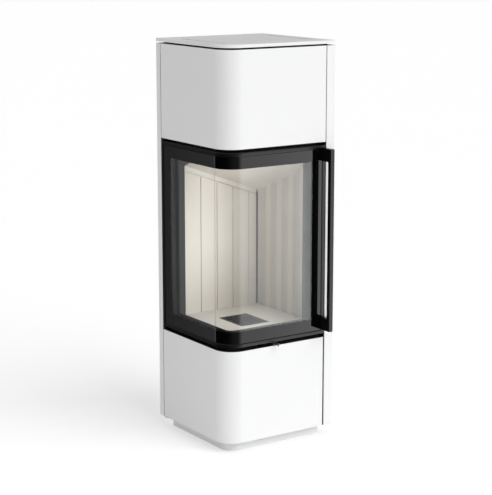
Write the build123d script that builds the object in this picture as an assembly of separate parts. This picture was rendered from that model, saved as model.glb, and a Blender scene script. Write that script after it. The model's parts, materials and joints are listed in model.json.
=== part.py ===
from build123d import *
import os

# A free-standing wood stove with a square plan, one rounded front corner and a bent corner glass.
# Sizes are in millimetres. The drawing frame starts at the front-left floor corner of the body:
# X runs to the right along the front, Y to the rear along the left side and Z up. The parts are
# written out about the middle of the plan, on the floor.

# Body
body_width = 453.0
body_depth = 440.0
corner_radius = 68.0

# Heights, from the floor up
plinth_height = 30.0
base_thickness = 4.0
lower_door_lift = 1.2
lower_door_height = 325.8
lever_gap = 13.0
door_height = 670.0
upper_gap = 10.0
cladding_height = 329.0
lid_gap = 6.0
top_plate_thickness = 11.0

# Sheet thicknesses and fits
casing_sheet = 2.0
cladding_sheet = 2.0
plinth_sheet = 3.0
pedestal_sheet = 3.0
firebox_sheet = 4.0
firebox_bend = 5.0
duct_sheet = 2.0
fit_gap = 0.3
running_gap = 0.05
bend_radius = 3.5

# Casing around the right and the rear
front_strip = 38.0
side_strip = 27.5
strip_return = 15.0
rear_flange = 20.0
right_gap = 22.0
rear_gap = 13.0

# Plinth and base
plinth_inset = 26.0
plinth_right_inset = 36.0
plinth_rear_inset = 42.0
plinth_corner_radius = 42.0
plinth_small_radius = 12.0
base_inset = 20.0
levelling_radius = 5.0
levelling_foot_radius = 11.0
levelling_foot_height = 8.0
levelling_inset = 34.0

# Glass door
door_gap = 2.5
hinge_gap = 4.0
frame_sheet = 2.5
frame_bend = 3.0
rim_width = 14.0
frame_width = 42.0
frame_depth = 24.0
glass_bed = 9.0
glass_setback = 1.0
glass_thickness = 4.0
glass_gap = 0.5
gasket_width = 16.0
seal_width = 14.0
seal_depth = 14.0
seal_start = 20.0
edge_round = 3.0

# Handle
handle_thickness = 16.0
handle_reach = 52.0
handle_arm = 45.0
handle_low = 17.0
handle_high = 10.0
handle_edge = 1.2
handle_corner = 4.0
handle_screw_radius = 2.5
handle_screw_head = 3.2
handle_screw_depth = 12.0

# Hinges
pin_radius = 3.5
pin_inset = 8.0
pin_end = 7.5
bush_radius = 5.0
bush_flange_radius = 6.5
bush_length = 18.0
block_size = 17.0
block_height = 24.0
bracket_thickness = 5.0
bracket_gap = 4.0
bracket_clearance = 1.5
upper_bracket_reach = 20.0

# Roller catches
roller_radius = 5.0
roller_height = 12.0
roller_pin_radius = 2.0
roller_inset = 31.0
roller_end = 9.5
catch_sheet = 2.0
keeper_sheet = 1.2
keeper_bend = 1.8
roller_round = 1.0
catch_share = 0.25

# Firebox
right_flange = 83.0
rear_flange_width = 70.0
sill_height = 50.0
lintel_height = 56.0
lining_thickness = 25.0
hearth_thickness = 25.0
flute_pitch = 69.0
flute_radius = 34.0
flute_depth = 6.0
groove_width = 5.0
groove_depth = 4.0
groove_headroom = 22.0
riser_width = 46.0
riser_holes = 6
riser_hole_pitch = 34.5
riser_hole_radius = 4.0
lining_corner_gap = 6.0
grate_width = 120.0
grate_depth = 150.0
grate_slot = 8.0
grate_bar = 11.0
grate_rim = 12.0

# Baffle: one plane that rises from the rear right corner towards the glass
baffle_drop = 211.0
baffle_slope_left = 0.36
baffle_slope_front = 0.40
baffle_thickness = 20.0
baffle_front_sum = 400.0

# Air and ash
air_box_height = 30.0
plenum_width = 133.0
plenum_depth = 60.0
plenum_drop = 156.0
spigot_radius = 50.0
spigot_height = 262.0
spigot_reach = 35.0
port_width = 22.0
port_height = 8.0
port_count = 3
port_pitch = 36.0
lever_x = 204.0
lever_width = 14.0
lever_sheet = 4.0
lever_travel = 30.0
slide_length = 112.0
slide_sheet = 2.4
knob_radius = 5.7
knob_length = 27.0
knob_neck_radius = 3.8
knob_neck_length = 7.0
knob_tip_radius = 4.6
knob_widest = 19.0
knob_tip = 25.8
rail_lip = 6.0
ash_gap = 6.0
ash_pan_width = 160.0
ash_pan_length = 300.0
ash_pan_height = 46.0
ash_pull_reach = 14.0
ash_shelf_drop = 56.0

# Flue
smoke_box_width = 200.0
smoke_box_headroom = 35.0
smoke_box_reach = 90.0
flue_radius = 75.0
flue_wall = 3.0
flue_rise = 134.0
flue_reach = 52.0
flue_flange = 15.0

# Top
frame_shelf_width = 70.0
frame_shelf_inset = 6.0
frame_rim_inset = 22.0
top_web = 6.0
top_rim = 8.0
lid_radius = 78.0
lid_ledge = 6.0
lid_gap_radius = 1.0
slot_width = 8.0
slot_front = 68.0
slot_rear = 350.0
slot_x = 48.0
post_size = 25.0
post_sheet = 3.0
strap_width = 20.0
stone_headroom = 52.0
stone_gap = 7.0
stone_layers = 3

# Rear panel
vent_length = 60.0
vent_height = 5.0
vent_pitch = 14.0
vent_rows = 4
vent_columns = 4
screw_radius = 2.5
screw_head_radius = 4.6
screw_head_height = 2.6
screw_length = 8.0
sleeve_radius = 6.0
flange_screw_shares = (0.06, 0.35, 0.65, 0.94)

# Levels
base_top = plinth_height + base_thickness
lower_door_bottom = base_top + lower_door_lift
lower_door_top = lower_door_bottom + lower_door_height
door_bottom = lower_door_top + lever_gap
door_top = door_bottom + door_height
middle_door = (door_bottom + door_top) / 2
cladding_bottom = door_top + upper_gap
cladding_top = cladding_bottom + cladding_height
plate_bottom = cladding_top + lid_gap
plate_top = plate_bottom + top_plate_thickness
firebox_bottom = door_bottom + casing_sheet
firebox_top = door_top + casing_sheet
baffle_low = firebox_top - baffle_drop
flue_height = firebox_top + flue_rise
smoke_box_top = flue_height + flue_radius + smoke_box_headroom
stone_height = (cladding_top - firebox_top - stone_headroom) / stone_layers
hearth_top = firebox_bottom + firebox_sheet + hearth_thickness
air_box_bottom = firebox_bottom - air_box_height
ash_shelf_top = air_box_bottom - ash_shelf_drop

# Plan lines
strip_x = body_width - front_strip
strip_y = body_depth - side_strip
door_x = strip_x - door_gap
door_y = strip_y - hinge_gap
wall_x = body_width - right_gap
wall_y = body_depth - rear_gap
flange_inset = frame_depth + seal_depth + fit_gap
inner_inset = flange_inset + pedestal_sheet + fit_gap
lining_x = wall_x - firebox_sheet - lining_thickness
lining_y = wall_y - firebox_sheet - lining_thickness
wall_corner = firebox_bend - firebox_sheet
riser_right = flange_inset + firebox_sheet + riser_width - fit_gap
flange_front = wall_x - right_flange
flange_rear = wall_y - rear_flange_width
pin_x = pin_inset
pin_y = door_y - pin_end
middle_x = body_width / 2
middle_y = body_depth / 2
smoke_box_front = middle_y - smoke_box_reach
smoke_box_left = middle_x - smoke_box_width / 2
grate_x = (flange_inset + lining_x) / 2
grate_y = (flange_inset + lining_y) / 2


def span_box(x_low, x_high, y_low, y_high, z_low, z_high):
    """Block between two corners."""
    size = (x_high - x_low, y_high - y_low, z_high - z_low)
    middle = Pos((x_low + x_high) / 2, (y_low + y_high) / 2, (z_low + z_high) / 2)
    return middle * Box(*size)


def rod(x, y, z_low, z_high, radius):
    """Upright cylinder."""
    return Pos(x, y, (z_low + z_high) / 2) * Cylinder(radius, z_high - z_low)


def rod_to_rear(x, z, y_low, y_high, radius):
    """Cylinder along Y."""
    return Pos(x, (y_low + y_high) / 2, z) * Rot(90, 0, 0) * Cylinder(radius, y_high - y_low)


def corner_band(outer, inner, z_low, z_high, front_end=door_x, side_end=door_y):
    """Upright band that follows the front, the rounded corner and the left side at two insets."""
    bend = (corner_radius, corner_radius)
    with BuildSketch(Plane.XY.offset(z_low)) as band:
        with BuildLine():
            Line((front_end, outer), (corner_radius, outer))
            CenterArc(bend, corner_radius - outer, 180, 90)
            Line((outer, corner_radius), (outer, side_end))
            Line((outer, side_end), (inner, side_end))
            Line((inner, side_end), (inner, corner_radius))
            CenterArc(bend, corner_radius - inner, 180, 90)
            Line((corner_radius, inner), (front_end, inner))
            Line((front_end, inner), (front_end, outer))
        make_face()
    return extrude(band.sketch, amount=z_high - z_low)


def corner_plate(inset, x_high, y_high, z_low, z_high, small_radius=0.0):
    """Flat plate with the rounded front-left corner at an inset."""
    bend = max(corner_radius - inset, edge_round)
    plate = span_box(inset, x_high, inset, y_high, z_low, z_high)
    upright = plate.edges().filter_by(Axis.Z)
    plate = fillet(upright.sort_by(lambda e: e.center().X + e.center().Y)[0], bend)
    if small_radius:
        others = plate.edges().filter_by(Axis.Z).sort_by(lambda e: e.center().X + e.center().Y)[-3:]
        plate = fillet(others, small_radius)
    return plate


def folded(points, thickness, radius=bend_radius):
    """Section of a folded sheet: its outer line, with the thickness on the left of the way along it."""
    runs = [(Vector(*end) - Vector(*start)).normalized() for start, end in zip(points, points[1:])]
    lefts = [Vector(-run.Y, run.X) for run in runs]
    inner = [Vector(*points[0]) + lefts[0] * thickness]
    outer_radii = []
    inner_radii = []
    for step, place in enumerate(points[1:-1]):
        before = lefts[step]
        after = lefts[step + 1]
        inner.append(Vector(*place) + (before + after) * (thickness / (1 + before.dot(after))))
        turns_left = runs[step].cross(runs[step + 1]).Z > 0
        outer_radii.append(radius if turns_left else radius - thickness)
        inner_radii.append(radius - thickness if turns_left else radius)
    inner.append(Vector(*points[-1]) + lefts[-1] * thickness)
    with BuildSketch() as section:
        with BuildLine():
            FilletPolyline(*points, radius=outer_radii)
            FilletPolyline(*inner, radius=inner_radii)
            Line(points[0], inner[0])
            Line(points[-1], inner[-1])
        make_face()
    return section.sketch


def upright_sheet(points, thickness, z_low, z_high, radius=bend_radius):
    """Folded sheet that stands on its section."""
    return Pos(0, 0, z_low) * extrude(folded(points, thickness, radius), amount=z_high - z_low)


def joined(pieces):
    """One solid from touching pieces."""
    whole = pieces[0]
    for piece in pieces[1:]:
        whole = whole + piece
    return whole


def group(pieces):
    """Separate solids that share a node."""
    return Compound([solid for piece in pieces for solid in piece.solids()])


# ---------------------------------------------------------------- plinth, base and pedestal

def plinth():
    """Recessed ring of folded sheet that stands on the floor."""
    right = body_width - plinth_right_inset
    rear = body_depth - plinth_rear_inset

    def ring_plan(inset, height):
        low = plinth_inset + inset
        plan = span_box(low, right - inset, low, rear - inset, 0, height)
        upright = plan.edges().filter_by(Axis.Z).sort_by(lambda e: e.center().X + e.center().Y)
        plan = fillet(upright[0], plinth_corner_radius - inset)
        upright = plan.edges().filter_by(Axis.Z).sort_by(lambda e: e.center().X + e.center().Y)
        return fillet(upright[-3:], plinth_small_radius - inset)

    return ring_plan(0, plinth_height) - ring_plan(plinth_sheet, plinth_height)


def levelling_places():
    """Centres of the four levelling screws, just inside the plinth."""
    low = plinth_inset + levelling_inset
    right = body_width - plinth_right_inset - levelling_inset
    rear = body_depth - plinth_rear_inset - levelling_inset
    return [(x, y) for x in (low, right) for y in (low, rear)]


def base_plate():
    """Plate on the plinth that carries the pedestal and the casing, with an ear for the lower hinge."""
    plate = span_box(base_inset, body_width, base_inset, body_depth, plinth_height, base_top)
    front_left = plate.edges().filter_by(Axis.Z).sort_by(lambda e: e.center().X + e.center().Y)[0]
    plate = fillet(front_left, corner_radius - base_inset)
    ear_low = pin_y - pin_end
    ear = span_box(fit_gap, base_inset, ear_low, door_y, plinth_height, base_top)
    plate = plate + ear
    plate -= rod(pin_x, pin_y, plinth_height, base_top, pin_radius + running_gap)
    for x, y in levelling_places():
        plate -= rod(x, y, plinth_height, base_top, levelling_radius + running_gap)
    return plate


def levelling_screws():
    """Screws with a foot disc, turned through the base plate."""
    head = base_top + levelling_radius
    screws = []
    for x, y in levelling_places():
        foot = rod(x, y, 0, levelling_foot_height, levelling_foot_radius)
        rim = foot.edges().filter_by(GeomType.CIRCLE).sort_by(Axis.Z)[-1]
        foot = chamfer(rim, levelling_foot_height / 4)
        screws.append(foot + rod(x, y, levelling_foot_height, head, levelling_radius))
    return group(screws)


def pedestal():
    """Folded wall behind and beside the wood compartment; it carries the firebox."""
    front_end = door_x - seal_start - seal_width
    side_end = pin_y
    line = [(front_end, flange_inset), (wall_x, flange_inset), (wall_x, wall_y),
            (flange_inset, wall_y), (flange_inset, side_end)]
    wall = upright_sheet(line, pedestal_sheet, base_top, firebox_bottom)
    return wall - rod_to_rear(middle_x, spigot_height, lining_y, body_depth, spigot_radius - duct_sheet)


# ---------------------------------------------------------------- casing

def stand_off_places():
    """Rear screws that end in a stand-off on the hot wall."""
    column = flange_inset + post_size + riser_width / 2
    heights = (base_top + post_size, ash_shelf_top, firebox_bottom + sill_height, middle_door,
               firebox_top - post_size)
    return [(x, z) for x in (column, body_width - column) for z in heights]


def flange_screw_places():
    """Rear screws that hold the rear panel to the side panel's flange."""
    x = body_width - rear_flange / 2
    span = cladding_top - base_top
    return [(x, base_top + span * share) for share in flange_screw_shares]


def side_panel():
    """Right casing: front strip, plain side and a rear flange, folded from one sheet."""
    rear_line = body_depth - casing_sheet
    line = [(strip_x, strip_return), (strip_x, 0), (body_width, 0), (body_width, rear_line),
            (body_width - rear_flange, rear_line)]
    panel = upright_sheet(line, casing_sheet, base_top, cladding_top)
    for x, z in flange_screw_places():
        panel -= rod_to_rear(x, z, wall_y, body_depth, screw_radius + fit_gap)
    return panel


def rear_panel():
    """Rear casing with its left strip, vent slots, and cut-outs for the flue and the air intake."""
    line = [(body_width, body_depth), (0, body_depth), (0, strip_y), (strip_return, strip_y)]
    panel = upright_sheet(line, casing_sheet, base_top, cladding_top)
    panel -= rod_to_rear(middle_x, flue_height, wall_y, body_depth, flue_radius + ash_gap)
    panel -= rod_to_rear(middle_x, spigot_height, wall_y, body_depth, spigot_radius + ash_gap)
    for x, z in stand_off_places() + flange_screw_places():
        panel -= rod_to_rear(x, z, wall_y, body_depth, screw_radius + fit_gap)
    slot = Rot(90, 0, 0) * extrude(SlotOverall(vent_length, vent_height), amount=rear_gap)
    column_pitch = vent_length + vent_pitch
    first_x = middle_x - column_pitch * (vent_columns - 1) / 2
    for row_base in (base_top + vent_length, cladding_top - vent_length):
        for row in range(vent_rows):
            for column in range(vent_columns):
                x = first_x + column * column_pitch
                z = row_base + (row - (vent_rows - 1) / 2) * vent_pitch
                panel -= Pos(x, body_depth + casing_sheet, z) * slot
    return panel


def stand_offs():
    """Threaded posts, welded to the hot walls, that keep the rear panel off them."""
    face = body_depth - casing_sheet
    bottom = face - screw_length
    posts = []
    for x, z in stand_off_places():
        post = rod_to_rear(x, z, wall_y, face, sleeve_radius)
        posts.append(post - rod_to_rear(x, z, bottom, face, screw_radius + fit_gap))
    return group(posts)


def rear_screws():
    """Pan-head screws of the rear panel."""
    screws = []
    for x, z in stand_off_places() + flange_screw_places():
        head = rod_to_rear(x, z, body_depth, body_depth + screw_head_height, screw_head_radius)
        outer_rim = head.edges().filter_by(GeomType.CIRCLE).sort_by(Axis.Y)[-1]
        head = chamfer(outer_rim, screw_head_height / 2)
        screws.append(head + rod_to_rear(x, z, body_depth - screw_length, body_depth, screw_radius))
    return group(screws)


def side_brackets():
    """Channel brackets between the firebox wall and the side panel."""
    half = right_gap - casing_sheet
    far = wall_x + half
    brackets = []
    for z in (base_top + post_size * 2, ash_shelf_top, middle_door, firebox_top - post_size * 2):
        for y in (middle_y / 2, middle_y + middle_y / 2):
            line = [(far, y + half), (wall_x, y + half), (wall_x, y - half), (far, y - half)]
            brackets.append(upright_sheet(line, duct_sheet, z - half, z + half))
    return group(brackets)


# ---------------------------------------------------------------- wood compartment door

def lower_door_panel():
    """L-shaped sheet door with folded edges all round."""
    depth = base_inset - fit_gap
    end = lower_front_end()
    low = lower_door_bottom
    high = lower_door_top
    door = joined([corner_band(0, cladding_sheet, low, high, end),
                   corner_band(cladding_sheet, depth, high - cladding_sheet, high, end),
                   corner_band(cladding_sheet, depth, low, low + cladding_sheet, end),
                   span_box(end - cladding_sheet, end, 0, depth, low, high),
                   span_box(0, depth, door_y - cladding_sheet, door_y, low, high)])
    door = rounded_hinge_edge(door)
    return door - rod(pin_x, pin_y, low, high, bush_radius + running_gap)


def lower_front_end():
    """Free end of the compartment door, a little short of the glass door's."""
    return door_x - edge_round


def rounded_hinge_edge(piece):
    """Round the outer upright edge that turns past the rear strip."""
    edge = piece.edges().filter_by(Axis.Z).sort_by(lambda e: e.center().X - e.center().Y)[0]
    return fillet(edge, edge_round)


def hinge_block(z_low, z_high):
    """Block with a bush bore, in the hinge corner of a door."""
    rear = door_y - cladding_sheet
    block = span_box(cladding_sheet, cladding_sheet + block_size, rear - block_size, rear, z_low, z_high)
    return block - rod(pin_x, pin_y, z_low, z_high, bush_radius + running_gap)


def lower_door_blocks():
    """Hinge blocks welded inside the compartment door."""
    low = lower_door_bottom + cladding_sheet
    high = lower_door_top - cladding_sheet
    return group([hinge_block(low, low + block_height), hinge_block(high - block_height, high)])


def bush(z_face, direction, flange_height):
    """Flanged bush: it enters a door from the face at z_face and its flange stands out."""
    inner = z_face - direction * bush_length
    outer = z_face + direction * flange_height
    low, high = min(inner, outer), max(inner, outer)
    flange_low, flange_high = min(z_face, outer), max(z_face, outer)
    body = rod(pin_x, pin_y, low, high, bush_radius)
    body += rod(pin_x, pin_y, flange_low, flange_high, bush_flange_radius)
    return body - rod(pin_x, pin_y, low, high, pin_radius + running_gap)


def lower_door_bushes():
    """Bushes at the bottom and the top of the compartment door."""
    thrust = lower_door_lift - fit_gap
    return group([bush(lower_door_bottom, -1, thrust), bush(lower_door_top, 1, thrust)])


def lower_catch_plate():
    """Angle on the compartment door that meets the magnet."""
    end = lower_front_end() - cladding_sheet
    depth = base_inset + cladding_sheet
    high = lower_door_top - block_height
    line = [(end, cladding_sheet + fit_gap), (end, depth), (end - block_size, depth)]
    return upright_sheet(line, cladding_sheet, high - block_height, high)


def magnet_catch():
    """Magnet in its holder, on the pedestal's front flange."""
    end = lower_front_end() - cladding_sheet - fit_gap
    low = lower_door_top - block_height * 2
    front = base_inset + cladding_sheet + fit_gap
    body = span_box(end - block_size, end - fit_gap, front, flange_inset, low, low + block_height)
    face = body.faces().sort_by(Axis.Y)[0]
    return chamfer(face.edges(), handle_edge)


# ---------------------------------------------------------------- hinges

def ear_bracket(z_low, z_high, inner_end):
    """Hinge ear that reaches from the carrier to the pin, past the rear strip."""
    ear = span_box(fit_gap, inner_end, pin_y - pin_end, door_y, z_low, z_high)
    root = span_box(strip_return + bracket_clearance, inner_end, pin_y - pin_end, wall_y, z_low, z_high)
    bracket = ear + root
    corner = bracket.edges().filter_by(Axis.Z).sort_by(lambda e: e.center().X + e.center().Y)[0]
    bracket = fillet(corner, frame_bend)
    return bracket - rod(pin_x, pin_y, z_low, z_high, pin_radius + running_gap)


def middle_bracket():
    """Bracket on the pedestal between the two doors."""
    high = door_bottom - bracket_gap
    return ear_bracket(high - bracket_thickness, high, flange_inset)


def upper_bracket():
    """Bracket on the firebox top, over the glass door."""
    return ear_bracket(firebox_top, firebox_top + bracket_thickness, flange_inset + upper_bracket_reach)


def hinge_pins():
    """Pins in the base ear and the two brackets."""
    low = rod(pin_x, pin_y, plinth_height, lower_door_bottom + bush_length, pin_radius)
    middle = rod(pin_x, pin_y, lower_door_top - bush_length, door_bottom + bush_length, pin_radius)
    top = rod(pin_x, pin_y, door_top - bush_length, firebox_top + bracket_thickness, pin_radius)
    return group([low, middle, top])


# ---------------------------------------------------------------- glass door

def frame_section():
    """Roll-formed section of the door frame: rim, bed for the glass, and channel for the seal."""
    line = [(0, frame_depth), (0, 0), (rim_width, 0), (rim_width, glass_bed), (frame_width, glass_bed),
            (frame_width, frame_depth), (seal_start - frame_sheet, frame_depth)]
    return folded(line, frame_sheet, frame_bend)


def mitred(member, corner, inward_x, inward_y, inward_z, keep):
    """Cut the end of a frame member along the diagonal of the door's corner."""
    cut = Plane(origin=corner, z_dir=(inward_x, inward_y, inward_z))
    return split(member, bisect_by=cut, keep=keep)


def frame_rail(z, upward):
    """Bottom or top rail, bent round the corner, with mitred ends."""
    plane = Plane(origin=(door_x, 0, z), x_dir=(0, 0, upward), z_dir=(-upward, 0, 0))
    corner = FilletPolyline((door_x, 0, z), (0, 0, z), (0, door_y, z), radius=corner_radius)
    rail = sweep(plane * frame_section(), path=corner)
    rail = mitred(rail, (door_x, 0, z), -1, 0, -upward, Keep.TOP)
    return mitred(rail, (0, door_y, z), 0, -1, -upward, Keep.TOP)


def frame_stile(plane, x, y):
    """Upright member at one end of the rails, mitred at the bottom and the top."""
    stile = extrude(plane * frame_section(), amount=door_height)
    inward_x = -1 if x else 0
    inward_y = -1 if y else 0
    stile = mitred(stile, (x, y, door_bottom), inward_x, inward_y, -1, Keep.BOTTOM)
    return mitred(stile, (x, y, door_top), inward_x, inward_y, 1, Keep.BOTTOM)


def frame_block(z_low, z_high):
    """Solid corner of the frame for a hinge bush, within the rim."""
    skin = frame_sheet / 2
    return span_box(skin, block_size, door_y - rim_width, door_y - skin, z_low, z_high)


def door_frame():
    """Two rails bent round the corner and two stiles, with a hinge block at each end of the rear stile."""
    front_plane = Plane(origin=(door_x, 0, door_top), x_dir=(-1, 0, 0), z_dir=(0, 0, -1))
    rear_plane = Plane(origin=(0, door_y, door_bottom), x_dir=(0, -1, 0), z_dir=(0, 0, 1))
    skin = frame_sheet / 2
    frame = joined([frame_rail(door_bottom, 1), frame_rail(door_top, -1),
                    frame_stile(front_plane, door_x, 0), frame_stile(rear_plane, 0, door_y),
                    frame_block(door_bottom + skin, door_bottom + block_height),
                    frame_block(door_top - block_height, door_top - skin)])
    for z_low in (door_bottom, door_top - block_height):
        frame -= rod(pin_x, pin_y, z_low, z_low + block_height, bush_radius + running_gap)
    for z in handle_screw_heights():
        frame -= rod_to_rear(handle_screw_x(), z, 0, frame_sheet, handle_screw_radius + fit_gap)
    return frame


def door_glass():
    """One pane bent round the corner, flush with the rims."""
    edge = rim_width + glass_gap
    return corner_band(glass_setback, glass_setback + glass_thickness, door_bottom + edge, door_top - edge,
                       door_x - edge, door_y - edge)


def door_loop(outer, inner, start, width):
    """Closed loop of square section near the door's edges."""
    low = door_bottom + start
    high = door_top - start
    front = door_x - start
    side = door_y - start
    pieces = [corner_band(outer, inner, low, low + width, front, side),
              corner_band(outer, inner, high - width, high, front, side),
              span_box(front - width, front, outer, inner, low, high),
              span_box(outer, inner, side - width, side, low, high)]
    return joined(pieces)


def glass_gasket():
    """Flat tape between the pane and its bed."""
    return door_loop(glass_setback + glass_thickness, glass_bed, seal_start, gasket_width)


def door_seal():
    """Rope seal round the back of the frame."""
    return door_loop(frame_depth, frame_depth + seal_depth, seal_start, seal_width)


def handle_screw_x():
    """Middle of the rim behind the handle."""
    return door_x - rim_width / 2


def handle_screw_heights():
    """Heights of the handle's screws: two in each arm."""
    low = door_bottom + handle_low + handle_arm / 2
    high = door_top - handle_high - handle_arm / 2
    step = handle_arm / 4
    return [low - step, low + step, high - step, high + step]


def door_handle():
    """Bow handle: a square grip on two flat arms, flush with the free end of the door."""
    low = door_bottom + handle_low
    high = door_top - handle_high
    left = door_x - handle_thickness
    grip_back = handle_thickness - handle_reach
    bow = span_box(left, door_x, -handle_reach, 0, low, high)
    window = span_box(left, door_x, grip_back, 0, low + handle_arm, high - handle_arm)
    inner_corners = window.edges().filter_by(Axis.X).group_by(Axis.Y)[0]
    handle = bow - fillet(inner_corners, handle_corner)
    handle = chamfer(handle.faces().sort_by(Axis.Y)[0].edges(), handle_edge)
    for z in handle_screw_heights():
        handle -= rod_to_rear(handle_screw_x(), z, -handle_screw_depth, 0, handle_screw_radius + running_gap)
    return handle


def handle_screws():
    """Screws from inside the stile into the handle's arms."""
    screws = []
    for z in handle_screw_heights():
        tip = fit_gap - handle_screw_depth
        shank = rod_to_rear(handle_screw_x(), z, tip, frame_sheet, handle_screw_radius)
        head = rod_to_rear(handle_screw_x(), z, frame_sheet, frame_sheet * 2, handle_screw_head)
        screws.append(shank + head)
    return group(screws)


def door_bushes():
    """Bushes at the bottom and the top of the glass door."""
    return group([bush(door_bottom, -1, bracket_gap - fit_gap), bush(door_top, 1, casing_sheet - fit_gap)])


def roller_heights():
    """Middle heights of the two roller catches."""
    return [door_bottom + door_height * catch_share, door_top - door_height * catch_share]


def roller_brackets():
    """Channel brackets on the free stile that hold the rollers."""
    x = door_x - roller_end
    half = roller_height / 2 + fit_gap
    foot_back = frame_depth + catch_sheet
    brackets = []
    for z in roller_heights():
        foot = span_box(door_x - seal_start + fit_gap, door_x, frame_depth, foot_back,
                        z - half - catch_sheet, z + half + catch_sheet)
        bracket = foot
        eye = roller_pin_radius * 2
        for z_low in (z - half - catch_sheet, z + half):
            ear = span_box(x - eye, x + eye, frame_depth, roller_inset, z_low, z_low + catch_sheet)
            tip = rod(x, roller_inset, z_low, z_low + catch_sheet, eye)
            bracket = bracket + ear + tip
        bracket -= rod(x, roller_inset, z - half - catch_sheet, z + half + catch_sheet,
                       roller_pin_radius + running_gap)
        brackets.append(bracket)
    return group(brackets)


def roller_pins():
    """Headed pins through the brackets."""
    x = door_x - roller_end
    half = roller_height / 2 + fit_gap + catch_sheet
    pins = []
    for z in roller_heights():
        pin = rod(x, roller_inset, z - half - catch_sheet / 2, z + half, roller_pin_radius)
        head = rod(x, roller_inset, z + half, z + half + catch_sheet / 2, pin_radius)
        pins.append(pin + head)
    return group(pins)


def catch_roller(z):
    """Roller with chamfered rims."""
    half = roller_height / 2
    x = door_x - roller_end
    roller = rod(x, roller_inset, z - half, z + half, roller_radius)
    roller = chamfer(roller.edges().filter_by(GeomType.CIRCLE), roller_round)
    return roller - rod(x, roller_inset, z - half, z + half, roller_pin_radius + running_gap)


def roller_keepers():
    """Leaf springs on the firebox flange, bent round the far side of each roller."""
    x = door_x - roller_end
    inner = x + roller_radius + fit_gap * 2
    outer = inner + keeper_sheet
    tip = frame_depth + catch_sheet + fit_gap * 2
    line = [(inner - keeper_sheet / 2, tip), (outer, roller_inset), (outer, flange_inset),
            (x - roller_radius, flange_inset)]
    half = roller_height / 2 - fit_gap
    leaves = [upright_sheet(line, keeper_sheet, z - half, z + half, keeper_bend) for z in roller_heights()]
    return group(leaves)


# ---------------------------------------------------------------- firebox

def firebox_shell():
    """Welded firebox: flanges for the seal, walls, bottom with the ash opening, top with the flue opening."""
    low = firebox_bottom
    high = firebox_top
    line = [(flange_front, flange_inset), (wall_x, flange_inset), (wall_x, wall_y), (flange_inset, wall_y),
            (flange_inset, flange_rear)]
    walls = upright_sheet(line, firebox_sheet, low, high, firebox_bend)
    far_x = wall_x - fit_gap
    far_y = wall_y - fit_gap
    bottom = corner_plate(flange_inset, far_x, far_y, low, low + firebox_sheet)
    top = corner_plate(flange_inset, far_x, far_y, high - firebox_sheet, high)
    shell = joined([walls, bottom, top])
    half_x = grate_width / 2 - grate_rim
    half_y = grate_depth / 2 - grate_rim
    shell -= span_box(grate_x - half_x, grate_x + half_x, grate_y - half_y, grate_y + half_y,
                      low, low + firebox_sheet)
    half_opening = smoke_box_width / 2 - post_size / 2
    return shell - span_box(middle_x - half_opening, middle_x + half_opening,
                            smoke_box_front + lining_thickness, lining_y, high - firebox_sheet, high)


def firebox_bands():
    """Bent sill and lintel between the firebox's flanges, welded to its bottom and top."""
    inner = flange_inset + firebox_sheet
    low = firebox_bottom + firebox_sheet
    high = firebox_top - firebox_sheet
    sill = corner_band(flange_inset, inner, low, firebox_bottom + sill_height, flange_front, flange_rear)
    lintel = corner_band(flange_inset, inner, firebox_top - lintel_height, high, flange_front, flange_rear)
    return group([sill, lintel])


def baffle_slab(thickness):
    """Sloping slab over the whole plan, from the plane of the baffle's underside upwards."""
    normal = Vector(baffle_slope_left, baffle_slope_front, 1).normalized()
    underside = Plane(origin=(lining_x, lining_y, baffle_low), z_dir=normal)
    return underside * extrude(Rectangle(body_width * 4, body_depth * 4), amount=thickness)


def rear_lining():
    """Lining panel of the rear wall, grooved into raised boards with heads that follow the baffle."""
    left = flange_inset + firebox_sheet + riser_width
    right = lining_x - lining_corner_gap
    low = firebox_bottom + firebox_sheet
    rear = wall_y - firebox_sheet
    floor = lining_y + groove_depth
    half = groove_width / 2
    heads = Pos(0, 0, -groove_headroom) * baffle_slab(firebox_top)
    head_groove = span_box(left, right, lining_y, floor, low, firebox_top) & heads
    head_groove -= Pos(0, 0, groove_width) * heads
    panel = span_box(left, right, lining_y, rear, low, firebox_top) - head_groove
    place = right - flute_pitch / 2
    while place > left + flute_pitch / 2:
        panel -= span_box(place - half, place + half, lining_y, floor, low, firebox_top) - heads
        place -= flute_pitch
    return panel - baffle_slab(firebox_top)


def side_lining():
    """Lining panel of the right wall with wide hollow flutes."""
    front = flange_inset + firebox_sheet + lining_thickness
    rear = lining_y - lining_corner_gap / 2
    low = firebox_bottom + firebox_sheet
    panel = span_box(lining_x, wall_x - firebox_sheet, front, rear, low, firebox_top)
    place = lining_y - flute_pitch / 2
    while place > front + flute_pitch / 2:
        panel -= rod(lining_x - flute_radius + flute_depth, place, low, firebox_top, flute_radius)
        place -= flute_pitch
    return panel - baffle_slab(firebox_top)


def air_riser():
    """Steel channel that leads air up the rear wall beside the glass."""
    left = flange_inset + firebox_sheet + wall_corner
    right = riser_right
    rear = wall_y - firebox_sheet
    low = firebox_bottom + firebox_sheet
    high = firebox_top - firebox_sheet - fit_gap
    front = lining_y + duct_sheet
    channel = span_box(left, right, lining_y, rear, low, high)
    channel -= span_box(left + duct_sheet, right - duct_sheet, front, rear, low, high)
    for step in range(riser_holes):
        z = middle_door + (step - riser_holes / 2) * riser_hole_pitch
        channel -= rod_to_rear((left + right) / 2, z, lining_y, front, riser_hole_radius)
    return channel


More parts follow.
